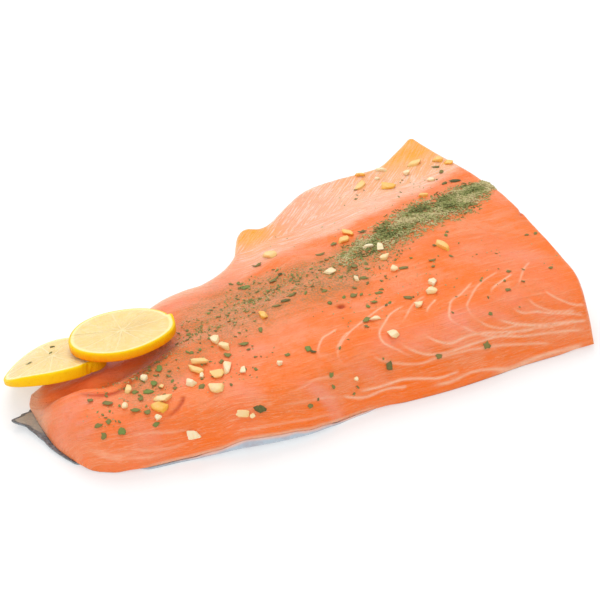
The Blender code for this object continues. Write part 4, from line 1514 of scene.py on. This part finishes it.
@dataclass
class HerbLeaves:
    """Dried herb leaves: thin curled scraps, some listed one by one and many small ones in patches."""

    ground: Ground
    setting: Setting
    seed: int = 23
    sides: int = 9
    thickness: float = 0.22
    leaves: tuple[Bit, ...] = (
        Bit(-94.5, -28.2, 4.2, 3.6, 54, 0.0), Bit(-105.8, -37, 6, 3.8, -40, 0.05),
        Bit(-101.3, -34.4, 4, 3.2, 30, 0.1), Bit(-110.4, -34.1, 3.6, 3, -36, 0.25),
        Bit(-122.9, -33.8, 4.8, 3.4, -36, 0.55), Bit(-127.7, -27.4, 3, 2.4, 0, 0.4),
        Bit(-115.8, -44.5, 5, 2.6, -36, 0.3), Bit(-112.3, -47.9, 3.2, 2.6, -60, 0.4),
        Bit(-125.1, -48.7, 4.2, 3.8, -50, 0.1), Bit(-131.9, -40.8, 4, 2.4, -20, 0.4),
        Bit(-127.8, -42.4, 3.2, 2.8, 60, 0.35), Bit(-131.9, -45.1, 3.4, 2.6, 54, 0.4),
        Bit(-111.9, -53.5, 3.2, 2.6, 0, 0.25), Bit(-110.8, -39.8, 3.4, 2.8, 54, 0.4),
        Bit(-86.6, -48.9, 3.6, 3.2, 30, 0.45), Bit(-67.1, -39.5, 3.8, 3.4, 54, 0.35),
        Bit(-57.5, -37.5, 5.4, 2.8, -30, 0.35), Bit(-71.4, -70.4, 6.4, 3.2, -60, 0.85),
        Bit(-45.9, -33.9, 5.6, 2.2, 58, 0.3), Bit(-37.3, -57.1, 4.4, 3.2, 60, 0.1),
        Bit(-36.8, -60.2, 3.2, 2.2, -40, 0.9), Bit(-46.6, -55.2, 3.2, 2.4, -30, 0.3),
        Bit(-25.1, -23, 5.6, 2.6, -30, 0.8), Bit(-20.1, -21, 4.6, 2.4, -10, 0.6),
        Bit(-29.9, -23.6, 4.6, 2.4, -36, 0.45), Bit(-8.5, 23.2, 5.6, 2.8, -36, 0.6),
        Bit(-14.4, 1.5, 5.4, 2.8, 10, 0.5), Bit(-9.4, 2.8, 3, 2.2, 54, 0.95),
        Bit(-24.3, 9.8, 5, 3.2, -20, 0.2), Bit(14.9, 4.8, 5.2, 1.8, -30, 0.5),
        Bit(25.9, 8, 4.2, 2.8, -20, 0.35), Bit(42.9, 6.8, 5.4, 2.6, -30, 0.75),
        Bit(20.3, -7.5, 4.2, 3.6, 20, 0.35), Bit(16.4, -20.6, 4, 3.2, 54, 0.5),
        Bit(14.1, -30.2, 4.8, 2.2, -36, 0.35), Bit(32.9, -35.6, 5.2, 2.6, -26, 0.5),
        Bit(2.7, -37.3, 3.8, 3.2, 60, 0.5), Bit(12.8, -43.1, 4.6, 2.2, -36, 0.35),
        Bit(6.9, -47.2, 4, 2, -20, 0.25), Bit(21, -54.6, 4.8, 1.9, -50, 0.55),
        Bit(-4.3, -56.1, 4.2, 3.8, 54, 0.3), Bit(-10.4, -79.9, 4.8, 4.0, 50, 0.75),
        Bit(-14.7, -84.4, 4.6, 4.2, -20, 0.5), Bit(-36.4, -72.8, 3, 2.6, 30, 0.3),
        Bit(-5.8, -27, 3.8, 2.8, 0, 0.3), Bit(47.6, -39.1, 5.6, 2.1, -20, 0.5),
        Bit(71.5, -65.8, 3, 2.2, -36, 0.5), Bit(92, -73, 2.8, 2, 0, 0.4), Bit(61, -76.6, 3, 2.2, -20, 0.5),
        Bit(45, -83, 3, 2.4, 0, 0.4), Bit(35.3, -91.9, 4.2, 3.6, 54, 0.5),
        Bit(12.2, -86.7, 3.6, 2.6, -30, 0.5), Bit(120.3, 42.3, 5, 2.2, -36, 0.7),
        Bit(118.8, 35.8, 4, 2.4, 20, 0.5), Bit(116.4, 22.7, 6.6, 4.0, -40, 0.95),
        Bit(111.2, 24.3, 4, 3, 0, 0.75), Bit(-51.2, -77.7, 2.8, 2.4, 0, 0.5),
        Bit(69.4, -24.9, 2.6, 2, 0, 0.4), Bit(106.9, -47, 2.6, 1.8, 0, 0.4),
        Bit(102.4, -45.4, 2.4, 1.8, 0, 0.5),
    )
    on_slices: tuple[Bit, ...] = (
        Bit(-119.5, 23, 3.4, 1.6, -50, 0.8), Bit(-134.5, 16, 3.0, 1.3, -20, 0.55),
        Bit(-123.5, 16.5, 2.0, 1.2, 0, 0.4),
    )
    patches: tuple[tuple[float, float, float, float, int], ...] = (
        (-112, -38, 20, 12, 26), (-95, -27, 12, 8, 18), (-78, -12, 16, 8, 22), (-62, -20, 22, 14, 26),
        (-70, -45, 16, 14, 14), (-40, -5, 18, 12, 30), (-20, 5, 16, 16, 34), (-14, -14, 18, 10, 26),
        (8, -12, 18, 12, 30), (6, -34, 20, 12, 16), (30, -20, 16, 10, 22), (30, -45, 30, 12, 8),
        (60, -75, 34, 14, 10), (-20, -70, 34, 12, 8), (90, 40, 26, 20, 8), (60, -40, 30, 14, 8),
    )
    small: tuple[float, float] = (1.1, 2.8)

    def leaf(self, shell: Shell, draw: random.Random, bit: Bit, on_slice: bool = False) -> None:
        """Lays one leaf down, if there is ground for it.

        Args:
            shell: The mesh that takes it.
            draw: Source of its small differences.
            bit: Its place, size, turn and tone.
            on_slice: Whether it lies on a lemon slice.
        """
        found = self.ground.find(bit.x, bit.y, on_slice)
        if found is None:
            return
        spot, normal = found
        curl = draw.uniform(-0.05, 0.12)
        outline = [draw.uniform(0.55, 1.15) for _ in range(self.sides)]
        tilt = Vector((draw.uniform(-0.22, 0.22), draw.uniform(-0.22, 0.22), 0))
        axes = own_axes(normal + tilt, math.radians(bit.turn))
        lift = 0.12 + 0.16 * draw.random() * min(1.0, bit.width / 3)
        angle, rings = around(self.sides), {}
        for level in (0, 1):
            for share in (0.5, 1.0):
                reach = share * np.array(outline) ** (1 if share == 1 else 0.5)
                a, b = bit.length / 2 * reach * np.cos(angle), bit.width / 2 * reach * np.sin(angle)
                bent = curl * (a * a + 1.6 * b * b) + 0.1 * np.sin(2.2 * a + 1.3 * b)
                body = np.column_stack([a, b, bent + level * self.thickness * (1.5 - share)])
                points = np.array(spot) + body @ axes + axes[2] * lift
                tone = np.clip(bit.tone + 0.1 * (share - 0.75) * np.sin(3 * angle), 0, 1)
                rings[level, share] = shell.add_points(points, tone=tone)
            middle = np.array(spot) + axes[2] * (lift + level * self.thickness)
            rings[level] = shell.add_points(middle, tone=bit.tone)[0]
        shell.add_tube([rings[0, 0.5], rings[0, 1.0], rings[1, 1.0], rings[1, 0.5]])
        shell.add_fan(rings[1], rings[1, 0.5])
        shell.add_fan(rings[0], rings[0, 0.5][::-1])

    def build(self) -> bpy.types.Object:
        """Makes all the leaves as one piece."""
        draw, shell = random.Random(self.seed), Shell()
        for bit in self.leaves:
            self.leaf(shell, draw, bit)
        for bit in self.on_slices:
            self.leaf(shell, draw, bit, on_slice=True)
        for x, y, reach_x, reach_y, count in self.patches:
            for _ in range(count):
                spot = strewn(draw, x, y, reach_x, reach_y)
                length = draw.uniform(*self.small)
                width, turn = length * draw.uniform(0.4, 0.8), draw.uniform(0, 180)
                self.leaf(shell, draw, Bit(*spot, length, width, turn, draw.uniform(0.05, 0.75)))
        return shell.piece("herb_leaves", self.setting, Seasoning.HERB.value.material())


@dataclass
class DillShreds:
    """Dried dill: fine curved shreds, heaped in a band along the midline and thin elsewhere."""

    ground: Ground
    setting: Setting
    seed: int = 41
    band: tuple[tuple[float, float, float], ...] = (
        (14, -13, 9), (31, -8, 12), (44, -7, 13), (57, -6, 14), (72, -2, 15), (85, 0, 16.5), (98, 1, 16),
        (110, 5, 13), (118, 7, 10), (126, 8, 6),
    )
    band_count: int = 7200
    heap_height: float = 1.7
    dust: tuple[tuple[float, float, float, float, int], ...] = (
        (-112, -34, 24, 14, 70), (-80, -14, 22, 9, 130), (-50, -10, 24, 14, 190), (-22, 0, 20, 17, 230),
        (0, -14, 24, 14, 200), (22, -20, 20, 12, 170), (40, -14, 18, 12, 130), (-70, -44, 24, 16, 60),
        (10, -45, 40, 16, 50), (60, -60, 44, 24, 30), (60, 30, 60, 20, 30), (-100, -20, 20, 8, 60),
    )
    length: tuple[float, float] = (0.8, 2.3)
    girth: tuple[float, float] = (0.24, 0.52)
    spread: float = 0.46
    outermost: float = 1.15
    crowding: float = 0.62
    past_end: float = 6
    gap_below: float = -0.2
    gap_share: float = 0.6
    SECTION = np.array([(0, -0.7, -0.5), (0, 0.7, -0.5), (0, 0, 0.9)])

    def shred(
        self, shell: Shell, draw: random.Random, x: float, y: float, size: float, lift: float, tone: float
    ) -> None:
        """Lays one shred down, if there is ground for it.

        Args:
            shell: The mesh that takes it.
            draw: Source of its length, bend and direction.
            x: Place along the fillet.
            y: Place across the fillet.
            size: Share of the full length.
            lift: Height of its middle over the flesh.
            tone: Its tone, 0 pale to 1 dark.
        """
        found = self.ground.find(x, y)
        if found is None:
            return
        spot, normal = found
        axes = own_axes(normal, draw.uniform(0, 2 * math.pi))
        length, girth = size * draw.uniform(*self.length), draw.uniform(*self.girth)
        pitch, bend = draw.gauss(0, 0.28), draw.gauss(0, 0.5)
        rings = []
        for share in (-0.5, -0.17, 0.17, 0.5):
            along, square = share * length, share * share * length
            middle = np.array([along, bend * square, pitch * along - 0.5 * abs(pitch) * square])
            body = middle + self.SECTION * girth * (1 - 1.1 * abs(share))
            points = np.array(spot) + body @ axes + axes[2] * (lift + 0.1)
            rings.append(shell.add_points(points, tone=tone))
        shell.add_tube(rings[::-1])
        shell.faces += [rings[0][::-1].tolist(), rings[-1].tolist()]

    def build(self) -> bpy.types.Object:
        """Makes all the shreds as one piece."""
        draw, shell = random.Random(self.seed), Shell()
        places = np.array(self.band, float)
        start, span = places[0, 0], places[-1, 0] - places[0, 0] + self.past_end
        for _ in range(self.band_count):
            x = start + span * draw.random() ** self.crowding
            y = np.interp(x, places[:, 0], places[:, 1])
            half = np.interp(x, places[:, 0], places[:, 2])
            off = draw.gauss(0, self.spread)
            if abs(off) > self.outermost:
                continue
            y += off * half
            clump = noise.noise(Vector((x / 6, y / 6, 2.2)))
            if clump < self.gap_below and draw.random() < self.gap_share:
                continue
            depth = self.heap_height * (1 - min(1.0, off * off)) * (0.5 + clump) * min(1.0, (x - 8) / 50)
            shade = noise.noise(Vector((x / 11, y / 8, 5.7)))
            tone = min(1.0, max(0.0, 0.42 - 0.35 * clump + 0.8 * shade + draw.uniform(-0.3, 0.36)))
            self.shred(shell, draw, x, y, 1.0, max(0.0, depth) * draw.random(), tone)
        for x, y, reach_x, reach_y, count in self.dust:
            for _ in range(count):
                spot = strewn(draw, x, y, reach_x, reach_y)
                self.shred(shell, draw, *spot, draw.uniform(0.25, 0.65), 0.0, draw.uniform(0.0, 0.8))
        return shell.piece("dill_shreds", self.setting, Seasoning.DILL.value.material())


# ---------------------------------------------------------------- studio


@dataclass(frozen=True)
class Studio:
    """White table, soft light and the camera."""

    setting: Setting
    elevation: float = 37.0
    facing: float = -36.0
    lens: float = 85.0
    distance: float = 0.68
    sky: float = 0.8
    lamp_size: float = 0.9
    key_place: tuple[float, float, float] = (0.35, 0.9, 1.15)
    key_power: float = 9.5
    fill_place: tuple[float, float, float] = (-0.9, -0.7, 0.8)
    fill_power: float = 2.9
    table_size: float = 8.0
    table_glow: float = 0.42

    def floor(self) -> None:
        """Lays the white table."""
        half = self.table_size / 2
        mesh = bpy.data.meshes.new("table")
        corners = [(-half, -half, 0), (half, -half, 0), (half, half, 0), (-half, half, 0)]
        mesh.from_pydata(corners, [], [[0, 1, 2, 3]])
        g = Graph(
            "white_table", Roughness=0.6, Specular_IOR_Level=0.2, Emission_Color=(1, 1, 1, 1),
            Emission_Strength=self.table_glow,
        )
        g.give("Base Color", g.blend(g.noise(g.place(), 0.02, 2), (0.58, 0.58, 0.58), (0.6, 0.6, 0.6)))
        mesh.materials.append(g.material)
        linked("table", mesh)

    def lamp(self, name: str, place: tuple[float, float, float], power: float, tint: Colour) -> None:
        """Hangs a square lamp that faces the fish.

        Args:
            name: Name of the lamp.
            place: Where it hangs, in metres.
            power: Its power in watts.
            tint: Colour of its light.
        """
        light = bpy.data.lights.new(name, "AREA")
        light.size, light.energy, light.color = self.lamp_size, power, tint
        lamp = linked(name, light)
        lamp.location = place
        lamp.rotation_euler = (-Vector(place)).to_track_quat("-Z", "Y").to_euler()

    def light(self) -> None:
        """Lights the table from a white sky and two soft lamps."""
        world = bpy.data.worlds.new("studio")
        world.use_nodes = True
        backdrop = world.node_tree.nodes["Background"]
        backdrop.inputs["Color"].default_value = (1, 1, 1, 1)
        backdrop.inputs["Strength"].default_value = self.sky
        bpy.context.scene.world = world
        self.lamp("key", self.key_place, self.key_power, (1.0, 0.98, 0.96))
        self.lamp("fill", self.fill_place, self.fill_power, (1.0, 0.99, 0.98))

    def camera(self) -> None:
        """Stands the camera at the photograph's angle."""
        elevation, facing = math.radians(self.elevation), math.radians(self.facing)
        level = Vector((math.sin(facing), -math.cos(facing), 0))
        back = level * math.cos(elevation) + Vector((0, 0, math.sin(elevation)))
        target = Vector(self.setting.to_row(np.zeros(3)))
        data = bpy.data.cameras.new("camera")
        data.lens, data.sensor_width = self.lens, 36.0
        data.clip_start, data.clip_end = 0.01, 20
        camera = linked("camera", data)
        camera.location = target + back * self.distance
        camera.rotation_euler = (-back).to_track_quat("-Z", "Y").to_euler()
        bpy.context.scene.camera = camera

    def build(self) -> None:
        """Sets up the whole studio."""
        bpy.context.scene.view_settings.view_transform = "Standard"
        self.floor()
        self.light()
        self.camera()


def stand_for(piece: bpy.types.Object, slot: str, *nodes: str) -> None:
    """Puts a piece on the body, in place of its solids.

    Args:
        piece: The piece.
        slot: A material slot of the record; not used.
        *nodes: The solids that it stands for.
    """
    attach(piece, "root")
    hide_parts(*nodes)
    triangles = sum(len(face.vertices) - 2 for face in piece.data.polygons)
    log.info("%s: %d triangles, in place of %s", piece.name, triangles, ", ".join(nodes))


def main() -> None:
    """Builds the fillet, the lemon slices, the seasoning and the studio, in that order."""
    form = FilletForm()
    setting = Setting.of(form)
    flesh = Flesh(form, setting)
    stand_for(flesh.build(), "flesh", "flesh")
    stand_for(Skin(form, setting).build(), "skin", "skin")
    lower = LemonSlice(
        "lemon_slice_low", "lemon_slice_lower", setting, middle=(-125, 13, 17), radius=22.6, thickness=5.2,
        rise=(0.2, -0.34), bend=(0.0105, 0.006), raised=1.4, segment_turn=0.1, rind_shade_and_reflection=(0.0, 0.45),
        torn=(-0.52, 0.16, 1.2, 0.45), thinned=(3.35, 0.85, 0.68),
    )
    upper = LemonSlice(
        "lemon_slice_high", "lemon_slice_upper", setting, middle=(-95.5, 2.5, 24), radius=23.6,
        thickness=4.1, rise=(0.13, -0.24), bend=(0.0, 0.0), rind_shade_and_reflection=(0.1, 1.1), ripe_spot=(9, 6, 7),
        torn=(0.52, 0.07, 1.3, 0.2), lifted=(0.36, 0.14, 2.0),
    )
    for lemon in (lower, upper):
        stand_for(lemon.build(), "lemon", lemon.node)
    ground = Ground(flesh.shell, [lower.shell, upper.shell])
    for seasoning in (GarlicChips, HerbLeaves, DillShreds):
        stand_for(seasoning(ground, setting).build(), "flesh", "flesh")
    Studio(setting).build()


if __name__ == "__main__":
    logging.basicConfig(level=logging.INFO, format="%(message)s")
    main()
